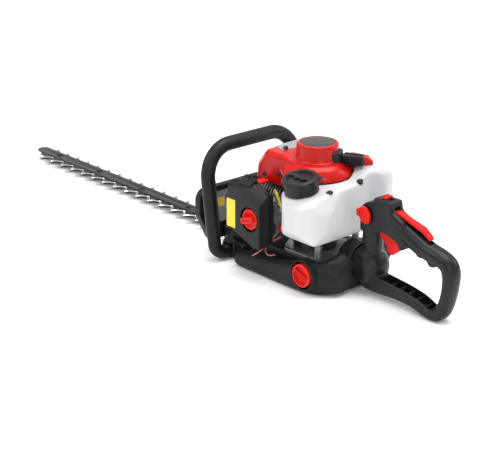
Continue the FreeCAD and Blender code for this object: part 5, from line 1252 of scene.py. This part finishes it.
def makeGearcase():
    for node in ("gearcase_lower", "gearcase_upper"):
        body = bevelled(nodeCopy(node), 1.4, 3, 40)
        parts = [body]
        if node == "gearcase_upper":
            rib = slab(softBox(0, 2.4, 12, 37.6, 0.8, 2), "xz", -51.6, -49.5, 0.4)
            rib.transform(Matrix.Translation((-160, 0, 0)))
            for side in (1, -1):
                row = repeated(rib.copy(), "painted", count=8, step=(13.0, 0, 0))
                row.transform(Matrix.Diagonal((1, side, 1, 1)))
                parts.append(outwards(row))
        finishPiece(node + "_cast", joined(*parts), "painted", "chassis", [node])


def makeCradle():
    body = bevelled(nodeCopy("engine_cradle"), 0.8, 2)
    rib = slab(roundLoop([(-24, 46), (-6, 46), (-6, 60), (-12, 66), (-24, 50)], 2, 3), "xz", -46, -43.6,
               0.4)
    finishPiece("cradle_cast", joined(body, rib), "cast", "chassis", ["engine_cradle"])


# The filter's base plate, stepped in at the side where the primer and the carburettor show.
def makeFilterBase():
    plate = bevelled(carve(nodeCopy("air_filter_base"), cuts=[block(-34, 0, -79, -40, 40, 190)]), 0.8, 2)
    finishPiece("filter_base_plate", plate, "nylon", "chassis", ["air_filter_base"])


makeHose()
makeWires()
makeFilterBase()
makePrimer()
makeCarburettor()
makeFins()
makeGearcase()
makeCradle()
for node, finish, width in (("muffler", "silencer", 1.2), ("muffler_guard", "painted", 0.5),
                            ("crankcase_lower", "cast", 1.0), ("crankcase_upper", "cast", 1.0),
                            ("choke_lever", "redNylon", 0.7), ("ignition_coil", "nylon", 0.8),
                            ("intake_insulator", "nylon", 0.6), ("spark_plug_cap", "rubber", 1.0)):
    refine(node, finish, width)
print("engine parts")


# the CAD nodes that stay get their slot's finish

slotFinish = {"tool_steel_black": "oxide", "tool_steel_ground": "ground", "cast_aluminium": "cast",
              "steel": "steel", "black_nylon": "nylon", "red_abs": "redAbs", "red_knob": "redNylon",
              "white_hdpe": "tank", "black_tube": "sleeve", "rubber_black": "rubber",
              "fuel_line": "fuelLine", "foam_felt": "foam", "cord_black": "cord",
              "muffler_steel": "silencer"}


def dressNodes():
    slotOf = {}
    for entry in frame["record"]["materials"]:
        for name in entry.get("nodes", []):
            slotOf[name] = entry["slot"]
    for name, obj in frame["nodes"].items():
        finish = finishes[slotFinish.get(slotOf.get(name), "steel")]
        if not obj.data.materials:
            obj.data.materials.append(finish)
        for k in range(len(obj.material_slots)):
            obj.material_slots[k].material = finish


dressNodes()


# pale floor, soft light

studio = {"floor": "#fbfbfb", "floorRough": 0.85, "floorZ": -0.0002, "floorHalf": 9, "sky": 0.8,
          # where in metres, how wide, how many watts
          "lamps": {"key": ((-0.9, -1.6, 1.9), 1.2, 20.0), "top": ((0.1, 0.3, 2.2), 1.6, 42.0),
                    "rim": ((0.9, 1.5, 1.2), 1.0, 8.0), "side": ((1.7, -0.9, 0.9), 0.8, 6.0)}}


def makeStudio():
    floor = bpy.data.meshes.new("floor")
    wide, z = studio["floorHalf"], studio["floorZ"]
    floor.from_pydata([(-wide, -wide, z), (wide, -wide, z), (wide, wide, z), (-wide, wide, z)], [],
                      [(0, 1, 2, 3)])
    paper = bpy.data.materials.new("paleStudioPaper")
    paper.use_nodes = True
    shader = paper.node_tree.nodes["Principled BSDF"]
    shader.inputs["Base Color"].default_value = linearColour(studio["floor"])
    shader.inputs["Roughness"].default_value = studio["floorRough"]
    floor.materials.append(paper)
    obj = holderFor(floor, "floor")
    world = bpy.data.worlds.new("studio")
    world.use_nodes = True
    sky = world.node_tree.nodes["Background"].inputs
    sky["Color"].default_value = (1, 1, 1, 1)
    sky["Strength"].default_value = studio["sky"]
    bpy.context.scene.world = world
    bpy.context.scene.view_settings.view_transform = "Standard"
    for name, (where, wide, watts) in studio["lamps"].items():
        lamp = bpy.data.lights.new(name, "AREA")
        lamp.size = wide
        lamp.energy = watts
        obj = bpy.data.objects.new(name, lamp)
        obj.location = where
        obj.rotation_euler = (spot(-120, 0, 60) - Vector(where)).to_track_quat("-Z", "Y").to_euler()
        bpy.context.collection.objects.link(obj)


makeStudio()
print("studio")
